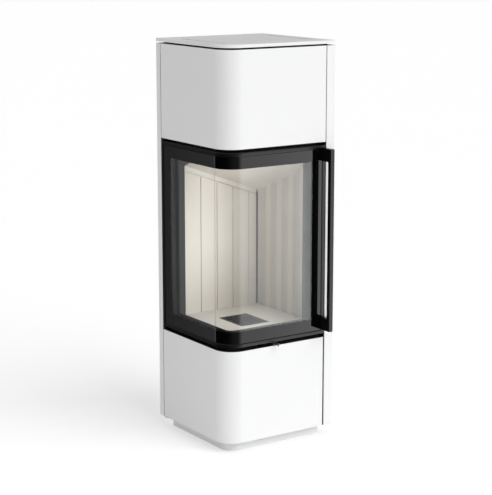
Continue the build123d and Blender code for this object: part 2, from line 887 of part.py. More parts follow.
def baffle_plate():
    """Sloping plate over the fire, on the tops of the two linings and notched round the air riser."""
    low = flange_inset + firebox_sheet + fit_gap
    high_x = wall_x - firebox_sheet - fit_gap
    high_y = wall_y - firebox_sheet - fit_gap
    with BuildSketch() as plan:
        with BuildLine():
            Polyline((high_x, high_y), (low, high_y), (low, baffle_front_sum - low),
                     (baffle_front_sum - low, low), (high_x, low), close=True)
        make_face()
    notch = span_box(low, riser_right + fit_gap, lining_y - fit_gap, high_y, 0, plate_top)
    return (extrude(plan.sketch, amount=plate_top) - notch) & baffle_slab(baffle_thickness)


def hearth_slab(x_low, x_high, y_low, y_high):
    """One slab of the hearth."""
    return span_box(x_low, x_high, y_low, y_high, firebox_bottom + firebox_sheet, hearth_top)


def hearth_bounds():
    """Plan of the hearth, and of the gap for the grate in it."""
    low = flange_inset + firebox_sheet + fit_gap
    outer = (low, lining_x - fit_gap, low, lining_y - fit_gap)
    half_x = grate_width / 2 + fit_gap
    half_y = grate_depth / 2 + fit_gap
    inner = (grate_x - half_x, grate_x + half_x, grate_y - half_y, grate_y + half_y)
    return outer, inner


def hearth_front():
    """Front slab, with the rounded corner of the firebox."""
    outer, inner = hearth_bounds()
    slab = hearth_slab(outer[0], outer[1], outer[2], inner[2] - fit_gap)
    corner = slab.edges().filter_by(Axis.Z).sort_by(lambda e: e.center().X + e.center().Y)[0]
    return fillet(corner, corner_radius - outer[2])


def hearth_rear():
    """Rear slab."""
    outer, inner = hearth_bounds()
    return hearth_slab(outer[0], outer[1], inner[3] + fit_gap, outer[3])


def hearth_left():
    """Slab to the left of the grate."""
    outer, inner = hearth_bounds()
    return hearth_slab(outer[0], inner[0], inner[2], inner[3])


def hearth_right():
    """Slab to the right of the grate."""
    outer, inner = hearth_bounds()
    return hearth_slab(inner[1], outer[1], inner[2], inner[3])


def grate():
    """Cast grate: a rim on the firebox bottom with a slotted top."""
    low = firebox_bottom + firebox_sheet
    half_x = grate_width / 2
    half_y = grate_depth / 2
    plate = span_box(grate_x - half_x, grate_x + half_x, grate_y - half_y, grate_y + half_y, low, hearth_top)
    plate = chamfer(plate.faces().sort_by(Axis.Z)[-1].edges(), duct_sheet)
    inner_x = half_x - grate_rim
    inner_y = half_y - grate_rim
    plate -= span_box(grate_x - inner_x, grate_x + inner_x, grate_y - inner_y, grate_y + inner_y,
                      low, hearth_top - grate_rim)
    pitch = grate_slot + grate_bar
    count = int((2 * inner_x - grate_slot) // pitch) + 1
    slot = Rot(0, 0, 90) * extrude(SlotOverall(2 * inner_y, grate_slot), amount=hearth_thickness)
    for step in range(count):
        x = grate_x + (step - (count - 1) / 2) * pitch
        plate -= Pos(x, grate_y, hearth_top - grate_rim - duct_sheet) * slot
    return plate


# ---------------------------------------------------------------- air box, slide and ash pan

def chute_half():
    """Half sizes of the ash chute, round the opening in the firebox bottom."""
    return grate_width / 2 - grate_rim + duct_sheet, grate_depth / 2 - grate_rim + duct_sheet


def plenum_bounds():
    """Plan of the box behind the intake."""
    y_high = wall_y - pedestal_sheet - fit_gap
    return middle_x - plenum_width / 2, middle_x + plenum_width / 2, y_high - plenum_depth, y_high


def port_places():
    """Middles of the air ports, along the front."""
    return [lever_x + (step - (port_count - 1) / 2) * port_pitch for step in range(port_count)]


def air_ports(y_low, y_high):
    """The cutters of the air ports."""
    z = air_box_bottom + air_box_height / 2
    half = port_width / 2
    return [span_box(x - half, x + half, y_low, y_high, z - port_height / 2, z + port_height / 2)
            for x in port_places()]


def air_box():
    """Flat box under the firebox: ports in its front, the ash chute through it, a plenum behind."""
    x_high = wall_x - pedestal_sheet - fit_gap
    y_high = wall_y - pedestal_sheet - fit_gap
    floor = corner_plate(inner_inset, x_high, y_high, air_box_bottom, air_box_bottom + duct_sheet)
    front = corner_band(inner_inset, inner_inset + duct_sheet, air_box_bottom, firebox_bottom, x_high, y_high)
    half_x, half_y = chute_half()
    inner_x = half_x - duct_sheet
    inner_y = half_y - duct_sheet
    chute = span_box(grate_x - half_x, grate_x + half_x, grate_y - half_y, grate_y + half_y,
                     air_box_bottom, firebox_bottom)
    x_low, x_right, y_low, y_rear = plenum_bounds()
    plenum_low = air_box_bottom - plenum_drop
    plenum = span_box(x_low, x_right, y_low, y_rear, plenum_low, air_box_bottom + duct_sheet)
    box = joined([floor, front, chute, plenum])
    box -= span_box(grate_x - inner_x, grate_x + inner_x, grate_y - inner_y, grate_y + inner_y,
                    air_box_bottom, firebox_bottom)
    box -= span_box(x_low + duct_sheet, x_right - duct_sheet, y_low + duct_sheet, y_rear - duct_sheet,
                    plenum_low + duct_sheet, air_box_bottom + duct_sheet)
    box -= rod_to_rear(middle_x, spigot_height, y_rear - duct_sheet, y_rear, spigot_radius - duct_sheet)
    for port in air_ports(inner_inset, inner_inset + duct_sheet):
        box -= port
    return box


def air_spigot():
    """Flanged intake collar at the rear, for an outside air duct."""
    end = body_depth + spigot_reach
    collar = rod_to_rear(middle_x, spigot_height, wall_y, end, spigot_radius)
    collar += rod_to_rear(middle_x, spigot_height, wall_y, wall_y + flue_wall, spigot_radius + flue_flange)
    return collar - rod_to_rear(middle_x, spigot_height, wall_y, end, spigot_radius - duct_sheet)


def slide_rails():
    """Folded rails that hold the air slide against the box."""
    x_low = lever_x - slide_length / 2 - lever_travel
    x_high = lever_x + slide_length / 2 + lever_travel
    lip_back = inner_inset - slide_sheet - fit_gap
    front = lip_back - slide_sheet / 2
    edge = lever_sheet - fit_gap
    low = air_box_bottom
    high = firebox_bottom
    bottom = span_box(x_low, x_high, front, inner_inset, low, low + edge)
    bottom += span_box(x_low, x_high, front, lip_back, low, low + rail_lip)
    top = span_box(x_low, x_high, front, inner_inset, high - edge, high)
    top += span_box(x_low, x_high, front, lip_back, high - rail_lip, high)
    return group([bottom, top])


def air_slide():
    """Sliding plate with ports, and the lever that reaches through the gap under the glass door."""
    back = inner_inset - fit_gap / 2
    front = back - slide_sheet
    low = air_box_bottom + lever_sheet
    high = firebox_bottom - lever_sheet
    plate = span_box(lever_x - slide_length / 2, lever_x + slide_length / 2, front, back, low, high)
    for port in air_ports(front, back):
        plate -= port
    lever_low = lever_height() - lever_sheet / 2
    return plate + span_box(lever_x - lever_width / 2, lever_x + lever_width / 2, 0, front + slide_sheet / 2,
                            lever_low, lever_low + lever_sheet)


def lever_height():
    """Middle of the gap between the two doors."""
    return (lower_door_top + door_bottom) / 2 - fit_gap


def lever_knob():
    """Turned knob on the lever's end."""
    with BuildSketch(Plane.XY) as half:
        with BuildLine():
            Line((0, 0), (knob_neck_radius, 0))
            Line((knob_neck_radius, 0), (knob_neck_radius, -knob_neck_length))
            Spline((knob_neck_radius, -knob_neck_length), (knob_radius, -knob_widest),
                   (knob_tip_radius, -knob_tip), tangents=((1, -0.4), (-1, -0.35)))
            Line((knob_tip_radius, -knob_tip), (0, -knob_length))
            Line((0, -knob_length), (0, 0))
        make_face()
    return Pos(lever_x, 0, lever_height()) * revolve(half.sketch, Axis.Y)


def ash_shelf():
    """Shelf over the wood compartment that carries the ash pan, with a front apron round it."""
    x_high = wall_x - pedestal_sheet - fit_gap
    y_high = wall_y - pedestal_sheet - fit_gap
    floor = corner_plate(inner_inset, x_high, y_high, ash_shelf_top - duct_sheet, ash_shelf_top)
    apron = corner_band(inner_inset, inner_inset + duct_sheet, ash_shelf_top - duct_sheet, air_box_bottom,
                        x_high, y_high)
    shelf = floor + apron
    x_low, x_right, y_low, y_rear = plenum_bounds()
    shelf -= span_box(x_low - fit_gap, x_right + fit_gap, y_low - fit_gap, y_rear + fit_gap,
                      ash_shelf_top - duct_sheet, ash_shelf_top)
    half = ash_pan_width / 2 + fit_gap
    return shelf - span_box(grate_x - half, grate_x + half, inner_inset, inner_inset + duct_sheet,
                            ash_shelf_top, ash_shelf_top + ash_pan_height + fit_gap)


def ash_pan():
    """Open pan under the chute, with a folded pull on its front."""
    front = inner_inset
    rear = front + ash_pan_length
    half = ash_pan_width / 2
    high = ash_shelf_top + ash_pan_height
    pan = span_box(grate_x - half, grate_x + half, front, rear, ash_shelf_top, high)
    pan = fillet(pan.edges().filter_by(Axis.Z), bend_radius)
    hollow = span_box(grate_x - half + duct_sheet, grate_x + half - duct_sheet, front + duct_sheet,
                      rear - duct_sheet, ash_shelf_top + duct_sheet, high)
    pan -= fillet(hollow.edges().filter_by(Axis.Z), bend_radius - duct_sheet)
    pull_left = grate_x - half / 2
    pull_right = grate_x + half / 2
    pull_front = front - ash_pull_reach
    pull_high = high - ash_pull_reach
    pan += span_box(pull_left, pull_right, pull_front, front, pull_high - duct_sheet, pull_high)
    return pan + span_box(pull_left, pull_right, pull_front, pull_front + duct_sheet,
                          pull_high - ash_pull_reach / 2, pull_high)


# ---------------------------------------------------------------- smoke box and flue

def smoke_box_plan(inset, z_low, z_high):
    """Rounded block in the plan of the smoke box, at an inset."""
    half = smoke_box_width / 2 - inset
    block = span_box(middle_x - half, middle_x + half, smoke_box_front + inset, wall_y - inset, z_low, z_high)
    return fillet(block.edges().filter_by(Axis.Z), bend_radius * 2 - inset)


def smoke_box():
    """Wall of the box over the flue opening, with the rear outlet."""
    low = firebox_top
    high = smoke_box_top - duct_sheet
    wall = smoke_box_plan(0, low, high) - smoke_box_plan(duct_sheet, low, high)
    return wall - rod_to_rear(middle_x, flue_height, middle_y, wall_y, flue_radius - flue_wall)


def smoke_box_lid():
    """Top sheet of the smoke box, with the second outlet."""
    high = smoke_box_top
    low = high - duct_sheet
    return smoke_box_plan(0, low, high) - rod(middle_x, middle_y, low, high, flue_radius - flue_wall)


def flue_collar():
    """Flanged collar for the flue pipe."""
    end = body_depth + flue_reach
    collar = rod_to_rear(middle_x, flue_height, wall_y, end, flue_radius)
    collar += rod_to_rear(middle_x, flue_height, wall_y, wall_y + flue_wall, flue_radius + flue_flange)
    return collar - rod_to_rear(middle_x, flue_height, wall_y, end, flue_radius - flue_wall)


def top_outlet_cap():
    """Cap on the unused top outlet of the smoke box."""
    low = smoke_box_top
    plug_radius = flue_radius - flue_wall - fit_gap
    plug = rod(middle_x, middle_y, low - flue_flange, low, plug_radius)
    plug -= rod(middle_x, middle_y, low - flue_flange, low, plug_radius - flue_wall)
    cap = plug + rod(middle_x, middle_y, low, low + flue_wall, flue_radius + flue_wall)
    return cap + rod(middle_x, middle_y, low + flue_wall, low + flue_flange, flue_flange / 2)


def stone_stack(x_low, x_high, y_low, y_high):
    """Layers of heat-storing stone."""
    stones = []
    for layer in range(stone_layers):
        low = firebox_top + layer * stone_height
        stone = span_box(x_low, x_high, y_low, y_high, low, low + stone_height)
        stones.append(chamfer(stone.edges(), casing_sheet))
    return group(stones)


def front_heat_stones():
    """Stack behind the front cladding."""
    left = inner_inset + post_size * 2
    right = wall_x - post_size - bracket_clearance
    return stone_stack(left, right, inner_inset, smoke_box_front - stone_gap)


def side_heat_stones():
    """Stack behind the left cladding."""
    front = smoke_box_front - stone_gap + lever_sheet
    rear = pin_y - pin_end - bracket_clearance
    return stone_stack(inner_inset, smoke_box_left - stone_gap, front, rear)


# ---------------------------------------------------------------- upper body

def angle_post(x, y, toward_x, toward_y):
    """Upright angle whose outer corner is at x, y."""
    high = shelf_top() - pedestal_sheet
    x_leg = sorted((x, x + toward_x * post_size))
    y_leg = sorted((y, y + toward_y * post_size))
    x_web = sorted((x, x + toward_x * post_sheet))
    y_web = sorted((y, y + toward_y * post_sheet))
    return span_box(*x_leg, *y_web, firebox_top, high) + span_box(*x_web, *y_leg, firebox_top, high)


def upper_posts():
    """Angle posts on the firebox that carry the top frame."""
    near = inner_inset + post_size / 2
    return group([angle_post(near, near, 1, 1), angle_post(wall_x, flange_inset, -1, 1),
                  angle_post(wall_x, wall_y, -1, -1), angle_post(flange_inset + riser_width, wall_y, -1, -1)])


def shelf_top():
    """Top of the frame's shelf, under the cladding's top fold."""
    return cladding_top - cladding_sheet


def air_slots(z_low, z_high, width):
    """Cutters of the two long slots that let the warm air out beside the posts."""
    length = slot_rear - slot_front
    slot = Rot(0, 0, 90) * extrude(SlotOverall(length + width - slot_width, width), amount=z_high - z_low)
    return [Pos(x, (slot_front + slot_rear) / 2, z_low) * slot for x in (slot_x, body_width - slot_x)]


def top_frame():
    """Ring on the posts: a shelf that the upper cladding hangs on and a rim that carries the top plate."""
    low = shelf_top() - pedestal_sheet
    right = body_width - casing_sheet - fit_gap
    rear = body_depth - casing_sheet * 2 - fit_gap
    shelf = corner_plate(frame_shelf_inset, right, rear, low, shelf_top(), bend_radius)
    shelf -= corner_plate(frame_shelf_width, body_width - frame_shelf_width, body_depth - frame_shelf_width,
                          low, shelf_top())
    for slot in air_slots(low, shelf_top(), slot_width * 2):
        shelf -= slot
    shelf -= span_box(strip_x - fit_gap, body_width, 0, strip_return + fit_gap, low, shelf_top())
    shelf -= span_box(0, strip_return + fit_gap, strip_y - fit_gap, body_depth, low, shelf_top())
    rim_high = plate_top - top_web
    inner = frame_rim_inset + pedestal_sheet
    rim = corner_plate(frame_rim_inset, body_width - frame_rim_inset, body_depth - frame_rim_inset,
                       low, rim_high)
    rim -= corner_plate(inner, body_width - inner, body_depth - inner, low, rim_high)
    return shelf + rim


def upper_cladding():
    """L-shaped panel with folded edges, hung by its top fold on the frame's shelf."""
    depth = frame_rim_inset - casing_sheet
    low = cladding_bottom
    end_high = shelf_top() - pedestal_sheet - fit_gap
    return joined([corner_band(0, cladding_sheet, low, cladding_top, door_x, door_y),
                   corner_band(cladding_sheet, depth, low, low + cladding_sheet, door_x, door_y),
                   corner_band(cladding_sheet, depth, shelf_top(), cladding_top, door_x, door_y),
                   span_box(door_x - cladding_sheet, door_x, 0, depth, low, end_high),
                   span_box(0, depth, door_y - cladding_sheet, door_y, low, end_high)])


def top_plate():
    """Cast top: web with a rim below, a stepped flue opening and two long slots for warm air."""
    plate = corner_plate(0, body_width, body_depth, plate_bottom, plate_top, edge_round)
    top_edges = plate.faces().sort_by(Axis.Z)[-1].edges()
    plate = fillet(top_edges, edge_round)
    web_low = plate_top - top_web
    hollow = corner_plate(top_rim, body_width - top_rim, body_depth - top_rim, plate_bottom, web_low)
    boss = rod(middle_x, middle_y, plate_bottom, web_low, lid_radius + lid_gap_radius + top_rim)
    plate = plate - (hollow - boss)
    plate -= rod(middle_x, middle_y, web_low, plate_top, lid_radius + lid_gap_radius)
    plate -= rod(middle_x, middle_y, plate_bottom, plate_top, lid_radius - lid_ledge)
    for slot in air_slots(web_low, plate_top, slot_width):
        plate -= slot
    return plate


def flue_lid():
    """Round lid, flush in the top plate."""
    seat = plate_top - top_web / 2
    lid = rod(middle_x, middle_y, plate_top - top_web, plate_top, lid_radius)
    lid = chamfer(lid.edges().filter_by(GeomType.CIRCLE).sort_by(Axis.Z)[-1], fit_gap)
    lid -= rod(middle_x, middle_y, plate_top - top_web, plate_top, screw_radius + fit_gap)
    return lid - rod(middle_x, middle_y, seat, plate_top, screw_head_radius + fit_gap)


def lid_strap():
    """Bar under the opening that the lid's screw pulls against."""
    low = plate_bottom - post_sheet
    length = 2 * (lid_radius - lid_ledge + top_rim)
    strap = Pos(middle_x, middle_y, low) * extrude(SlotOverall(length, strap_width), amount=post_sheet)
    return strap - rod(middle_x, middle_y, low, plate_bottom, screw_radius + running_gap)


def lid_screw():
    """Socket screw in the middle of the lid."""
    seat = plate_top - top_web / 2
    head = rod(middle_x, middle_y, seat, plate_top - fit_gap, screw_head_radius)
    socket = extrude(Pos(middle_x, middle_y, seat + casing_sheet / 2) * RegularPolygon(screw_radius, 6),
                     amount=top_web)
    return head - socket + rod(middle_x, middle_y, plate_bottom - post_sheet * 2, seat, screw_radius)


nodes = {
    "plinth": plinth(),
    "levelling_screws": levelling_screws(),
    "base_plate": base_plate(),
    "pedestal": pedestal(),
    "side_panel": side_panel(),
    "rear_panel": rear_panel(),
    "rear_stand_offs": stand_offs(),
    "rear_panel_screws": rear_screws(),
    "side_panel_brackets": side_brackets(),
    "lower_door_panel": lower_door_panel(),
    "lower_door_hinge_blocks": lower_door_blocks(),
    "lower_door_bushes": lower_door_bushes(),
    "lower_door_catch_plate": lower_catch_plate(),
    "magnet_catch": magnet_catch(),
    "middle_hinge_bracket": middle_bracket(),
    "upper_hinge_bracket": upper_bracket(),
    "hinge_pins": hinge_pins(),
    "glass_door_frame": door_frame(),
    "door_glass": door_glass(),
    "glass_gasket": glass_gasket(),
    "door_seal": door_seal(),
    "door_handle": door_handle(),
    "handle_screws": handle_screws(),
    "glass_door_bushes": door_bushes(),
    "roller_brackets": roller_brackets(),
    "roller_pins": roller_pins(),
    "lower_catch_roller": catch_roller(roller_heights()[0]),
    "upper_catch_roller": catch_roller(roller_heights()[1]),
    "roller_keepers": roller_keepers(),
    "firebox_shell": firebox_shell(),
    "firebox_bands": firebox_bands(),
    "rear_lining": rear_lining(),
    "side_lining": side_lining(),
    "air_riser": air_riser(),
    "baffle_plate": baffle_plate(),
    "hearth_front_slab": hearth_front(),
    "hearth_rear_slab": hearth_rear(),
    "hearth_left_slab": hearth_left(),
    "hearth_right_slab": hearth_right(),
    "grate": grate(),
    "air_box": air_box(),
    "air_intake_spigot": air_spigot(),
    "air_slide_rails": slide_rails(),
    "air_slide": air_slide(),
    "lever_knob": lever_knob(),
    "ash_shelf": ash_shelf(),
    "ash_pan": ash_pan(),
    "smoke_box": smoke_box(),
    "smoke_box_lid": smoke_box_lid(),
    "flue_collar": flue_collar(),
    "top_outlet_cap": top_outlet_cap(),
    "front_heat_stones": front_heat_stones(),
    "side_heat_stones": side_heat_stones(),
    "upper_posts": upper_posts(),
    "top_frame": top_frame(),
    "upper_cladding": upper_cladding(),
    "top_plate": top_plate(),
    "flue_lid": flue_lid(),
    "lid_strap": lid_strap(),
    "lid_screw": lid_screw(),
}

os.makedirs("parts", exist_ok=True)
to_middle = Pos(-body_width / 2, -body_depth / 2, 0)
for name, shape in nodes.items():
    solids = [to_middle * solid for solid in shape.solids()]
    placed = solids[0] if len(solids) == 1 else Compound(solids)
    export_step(placed, os.path.join("parts", name + ".step"))
    print(name, "solids", len(solids), "volume", round(sum(solid.volume for solid in solids)))
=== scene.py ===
"""A tall wood stove with a rounded glass corner: finishes, modelled details, light and camera."""

import json
import logging
import math
from dataclasses import dataclass
from enum import Enum
from typing import Callable, Sequence

import bmesh
import bpy
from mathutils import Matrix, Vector


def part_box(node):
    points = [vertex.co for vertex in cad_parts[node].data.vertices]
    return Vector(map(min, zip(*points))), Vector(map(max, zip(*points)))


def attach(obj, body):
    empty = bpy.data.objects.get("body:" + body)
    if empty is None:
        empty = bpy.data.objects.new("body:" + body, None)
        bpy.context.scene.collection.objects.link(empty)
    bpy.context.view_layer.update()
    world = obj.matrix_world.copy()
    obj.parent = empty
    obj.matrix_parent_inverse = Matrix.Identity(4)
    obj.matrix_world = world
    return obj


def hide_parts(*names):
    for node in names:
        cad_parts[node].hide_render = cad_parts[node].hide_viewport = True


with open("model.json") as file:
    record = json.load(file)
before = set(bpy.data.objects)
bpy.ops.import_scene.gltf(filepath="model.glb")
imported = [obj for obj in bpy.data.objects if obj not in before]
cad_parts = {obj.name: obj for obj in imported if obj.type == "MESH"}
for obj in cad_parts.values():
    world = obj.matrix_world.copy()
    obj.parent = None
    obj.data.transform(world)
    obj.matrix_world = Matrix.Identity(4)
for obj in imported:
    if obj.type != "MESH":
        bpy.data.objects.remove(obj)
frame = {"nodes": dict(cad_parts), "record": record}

log = logging.getLogger("stove")

TAU = math.tau
NEAR = 0.0001  # in metres: places closer than this are the same place
DOUBLE = 0.00001  # in metres: vertices closer than this are merged
SQUARE = 0.9  # a direction with more of its length than this along an axis runs along it
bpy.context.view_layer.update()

Colour = tuple[float, float, float]
Place = tuple[float, float, float]


class Part(Enum):
    """What a selection in edit mode is made of."""

    EDGE = "EDGE"
    FACE = "FACE"


class Body(Enum):
    """The rigid bodies that pieces ride on."""

    STOVE = "stove_body"
    GLASS_DOOR = "glass_door"
    LOWER_DOOR = "lower_door"
    AIR_CONTROL = "air_control"


# ---------------------------------------------------------------- shader arithmetic


class Value:
    """A number that varies over a surface: a shader socket that takes part in arithmetic."""

    def __init__(self, graph: "Graph", socket: bpy.types.NodeSocket) -> None:
        """Wrap an output socket of a node tree."""
        self.graph = graph
        self.socket = socket

    def __add__(self, other: "Value | float") -> "Value":
        """Sum."""
        return self.graph.maths("ADD", self, other)

    def __sub__(self, other: "Value | float") -> "Value":
        """Difference."""
        return self.graph.maths("SUBTRACT", self, other)

    def __rsub__(self, other: float) -> "Value":
        """Difference from a plain number."""
        return self.graph.maths("SUBTRACT", other, self)

    def __mul__(self, other: "Value | float") -> "Value":
        """Product."""
        return self.graph.maths("MULTIPLY", self, other)

    def __truediv__(self, other: "Value | float") -> "Value":
        """Quotient."""
        return self.graph.maths("DIVIDE", self, other)

    __radd__ = __add__
    __rmul__ = __mul__

    def above(self, level: float, blur: float) -> "Value":
        """One where this is over a level and zero below it, with a step twice as wide as the blur."""
        return self.graph.maths("ADD", (self - level) / (2 * blur), 0.5, clamp=True)

    def largest(self, other: "Value | float") -> "Value":
        """The larger of the two."""
        return self.graph.maths("MAXIMUM", self, other)

    def smallest(self, other: "Value | float") -> "Value":
        """The smaller of the two."""
        return self.graph.maths("MINIMUM", self, other)

    def power(self, exponent: float) -> "Value":
        """This raised to a power."""
        return self.graph.maths("POWER", self, exponent)

    def sine(self) -> "Value":
        """Sine of this angle in radians."""
        return self.graph.maths("SINE", self)

    def size(self) -> "Value":
        """This without its sign."""
        return self.graph.maths("ABSOLUTE", self)

    def swing(self, width: float) -> "Value":
        """This random variation between 0 and 1 as a swing round zero."""
        return (self - 0.5) * width


class Graph:
    """A node tree that is built from expressions."""

    def __init__(self, tree: bpy.types.NodeTree) -> None:
        """Take an empty node tree."""
        self.tree = tree

    def node(self, kind: str, settings: dict | None = None, inputs: dict | None = None) -> bpy.types.Node:
        """Add any node.

        Args:
            kind: The node's type.
            settings: Properties of the node, set before its sockets.
            inputs: Values or links by socket name or number.

        Returns:
            The node.
        """
        made = self.tree.nodes.new(kind)
        for key, value in (settings or {}).items():
            setattr(made, key, value)
        for key, value in (inputs or {}).items():
            self._feed(made.inputs[key], value)
        return made

    def _feed(self, socket: bpy.types.NodeSocket, value: object) -> None:
        """Link or set one input socket.

        Args:
            socket: The input.
            value: A Value, an output socket, a number or a colour.
        """
        if isinstance(value, Value):
            self.tree.links.new(value.socket, socket)
        elif isinstance(value, bpy.types.NodeSocket):
            self.tree.links.new(value, socket)
        elif isinstance(value, tuple) and socket.type == "RGBA":
            socket.default_value = (*value, 1.0)
        else:
            socket.default_value = value

    def maths(self, operation: str, *terms: "Value | float", clamp: bool = False) -> Value:
        """Add a Math node.

        Args:
            operation: The node's operation.
            terms: Its inputs.
            clamp: Whether the result is kept between 0 and 1.

        Returns:
            The result.
        """
        made = self.node("ShaderNodeMath", {"operation": operation, "use_clamp": clamp},
                         dict(enumerate(terms)))
        return Value(self, made.outputs[0])

    def parts(self, vector: bpy.types.NodeSocket) -> tuple[Value, Value, Value]:
        """The three parts of a vector as numbers."""
        split = self.node("ShaderNodeSeparateXYZ", inputs={"Vector": vector})
        return tuple(Value(self, socket) for socket in split.outputs)


class Room(Graph):
    """The world's node tree: how bright the surroundings are in each direction."""

    def __init__(self, tree: bpy.types.NodeTree) -> None:
        """Clear the tree and find the direction.

        Args:
            tree: The world's node tree.
        """
        super().__init__(tree)
        tree.nodes.clear()
        self.way = self.node("ShaderNodeTexCoord").outputs["Generated"]

    def level(self) -> Value:
        """How far the direction points up."""
        return self.parts(self.way)[2]

    def towards(self, side: Place) -> Value:
        """How nearly a level direction points to a side.

        Args:
            side: The side, as a level vector of length 1.

        Returns:
            The cosine of the angle between them.
        """
        flat = self.node("ShaderNodeVectorMath", {"operation": "MULTIPLY"}, {0: self.way, 1: (1.0, 1.0, 0.0)})
        unit = self.node("ShaderNodeVectorMath", {"operation": "NORMALIZE"}, {0: flat.outputs[0]})
        along = self.node("ShaderNodeVectorMath", {"operation": "DOT_PRODUCT"}, {0: unit.outputs[0], 1: side})
        return Value(self, along.outputs["Value"])

    def ramp(self, value: Value, edges: tuple[float, float], levels: tuple[float, float]) -> Value:
        """Ease from one level to another between two edges.

        Args:
            value: What decides.
            edges: Where the change starts and ends.
            levels: The levels before and after it.

        Returns:
            The level.
        """
        made = self.node("ShaderNodeMapRange", {"interpolation_type": "SMOOTHSTEP"},
                         {"Value": value, "From Min": edges[0], "From Max": edges[1],
                          "To Min": levels[0], "To Max": levels[1]})
        return Value(self, made.outputs[0])

    def light(self, strength: Value) -> None:
        """Close the tree with neutral light.

        Args:
            strength: How bright it is.
        """
        sky = self.node("ShaderNodeBackground", inputs={"Color": (1.0, 1.0, 1.0), "Strength": strength})
        output = self.node("ShaderNodeOutputWorld")
        self.tree.links.new(sky.outputs[0], output.inputs["Surface"])


class Recipe(Graph):
    """The node tree of one material."""

    def __init__(self, name: str) -> None:
        """Start a material.

        Args:
            name: The material's name.
        """
        self.material = bpy.data.materials.new(name)
        self.material.use_nodes = True
        super().__init__(self.material.node_tree)
        self.tree.nodes.clear()
        self.output = self.node("ShaderNodeOutputMaterial")
        self.coordinates: bpy.types.NodeSocket | None = None

    def place(self) -> bpy.types.NodeSocket:
        """Find the point on the piece.

        Returns:
            Its object coordinates.
        """
        if self.coordinates is None:
            self.coordinates = self.node("ShaderNodeTexCoord").outputs["Object"]
        return self.coordinates

    def axes(self) -> tuple[Value, Value, Value]:
        """The three object coordinates as numbers."""
        return self.parts(self.place())

    def noise(self, scale: float, detail: float = 2.0, rough: float = 0.5,
              stretch: Place = (1.0, 1.0, 1.0)) -> Value:
        """Smooth random variation between 0 and 1.

        Args:
            scale: Features per metre.
            detail: Number of finer layers.
            rough: How strong the finer layers are.
            stretch: Scale of the coordinates along each axis.

        Returns:
            The variation.
        """
        grid = self.node("ShaderNodeMapping", inputs={"Vector": self.place(), "Scale": stretch})
        made = self.node("ShaderNodeTexNoise", inputs={"Vector": grid.outputs[0], "Scale": scale,
                                                       "Detail": detail, "Roughness": rough})
        return Value(self, made.outputs["Fac"])

    def cells(self, scale: float) -> Value:
        """Distance to the nearest of scattered points, in cells."""
        made = self.node("ShaderNodeTexVoronoi", {"feature": "F1"}, {"Vector": self.place(), "Scale": scale})
        return Value(self, made.outputs["Distance"])

    def blend(self, share: Value, first: object, second: object) -> bpy.types.NodeSocket:
        """Mix two colours or colour sockets: a share of 0 gives the first and 1 the second."""
        mixed = self.node("ShaderNodeMix", {"data_type": "RGBA"}, {0: share, 6: first, 7: second})
        return mixed.outputs[2]

    def relief(self, height: Value, depth: float) -> bpy.types.NodeSocket:
        """The normal bent by a height between 0 and 1, where 1 measures the depth in metres."""
        made = self.node("ShaderNodeBump", inputs={"Height": height, "Distance": depth, "Strength": 1.0})
        return made.outputs[0]

    def surface(self, **inputs: object) -> bpy.types.Material:
        """Close the recipe with one shader.

        Args:
            inputs: Sockets of the shader, with underscores for the spaces in their names.

        Returns:
            The finished material.
        """
        named = {key.replace("_", " "): value for key, value in inputs.items()}
        shader = self.node("ShaderNodeBsdfPrincipled", inputs=named)
        self.tree.links.new(shader.outputs[0], self.output.inputs["Surface"])
        return self.material


# ---------------------------------------------------------------- finishes


def toned(colour: Colour, factor: float, lift: float = 0.0) -> Colour:
    """A colour made darker or lighter."""
    return tuple(channel * factor + lift for channel in colour)


@dataclass(frozen=True)
class PowderCoat:
    """Baked powder coat: satin, with a faint orange peel.

    Attributes:
        name: The material's name.
        colour: Colour of the coat.
        roughness: Its mean roughness.
        peel_depth: Depth of the orange peel, in metres.
        peel_scale: Bumps of the orange peel per metre.
        mottle: Share by which the coat darkens in patches.
        patch_scale: Patches per metre.
        unevenness: How much the roughness varies over the patches.
    """

    name: str
    colour: Colour
    roughness: float
    peel_depth: float = 0.00002
    peel_scale: float = 420.0
    mottle: float = 0.02
    patch_scale: float = 7.0
    unevenness: float = 0.06

    def layers(self, recipe: Recipe) -> tuple[bpy.types.NodeSocket, Value, bpy.types.NodeSocket]:
        """Mix the coat in a recipe.

        Args:
            recipe: The material's node tree.

        Returns:
            The coat's colour, roughness and relief.
        """
        cloud = recipe.noise(self.patch_scale, detail=3.0)
        peel = recipe.noise(self.peel_scale)
        colour = recipe.blend(cloud, toned(self.colour, 1 - self.mottle), self.colour)
        roughness = self.roughness + cloud.swing(self.unevenness)
        return colour, roughness, recipe.relief(peel, self.peel_depth)

    def material(self) -> bpy.types.Material:
        """Make the coat.

        Returns:
            The material.
        """
        recipe = Recipe(self.name)
        colour, roughness, relief = self.layers(recipe)
        return recipe.surface(Base_Color=colour, Roughness=roughness, Normal=relief)


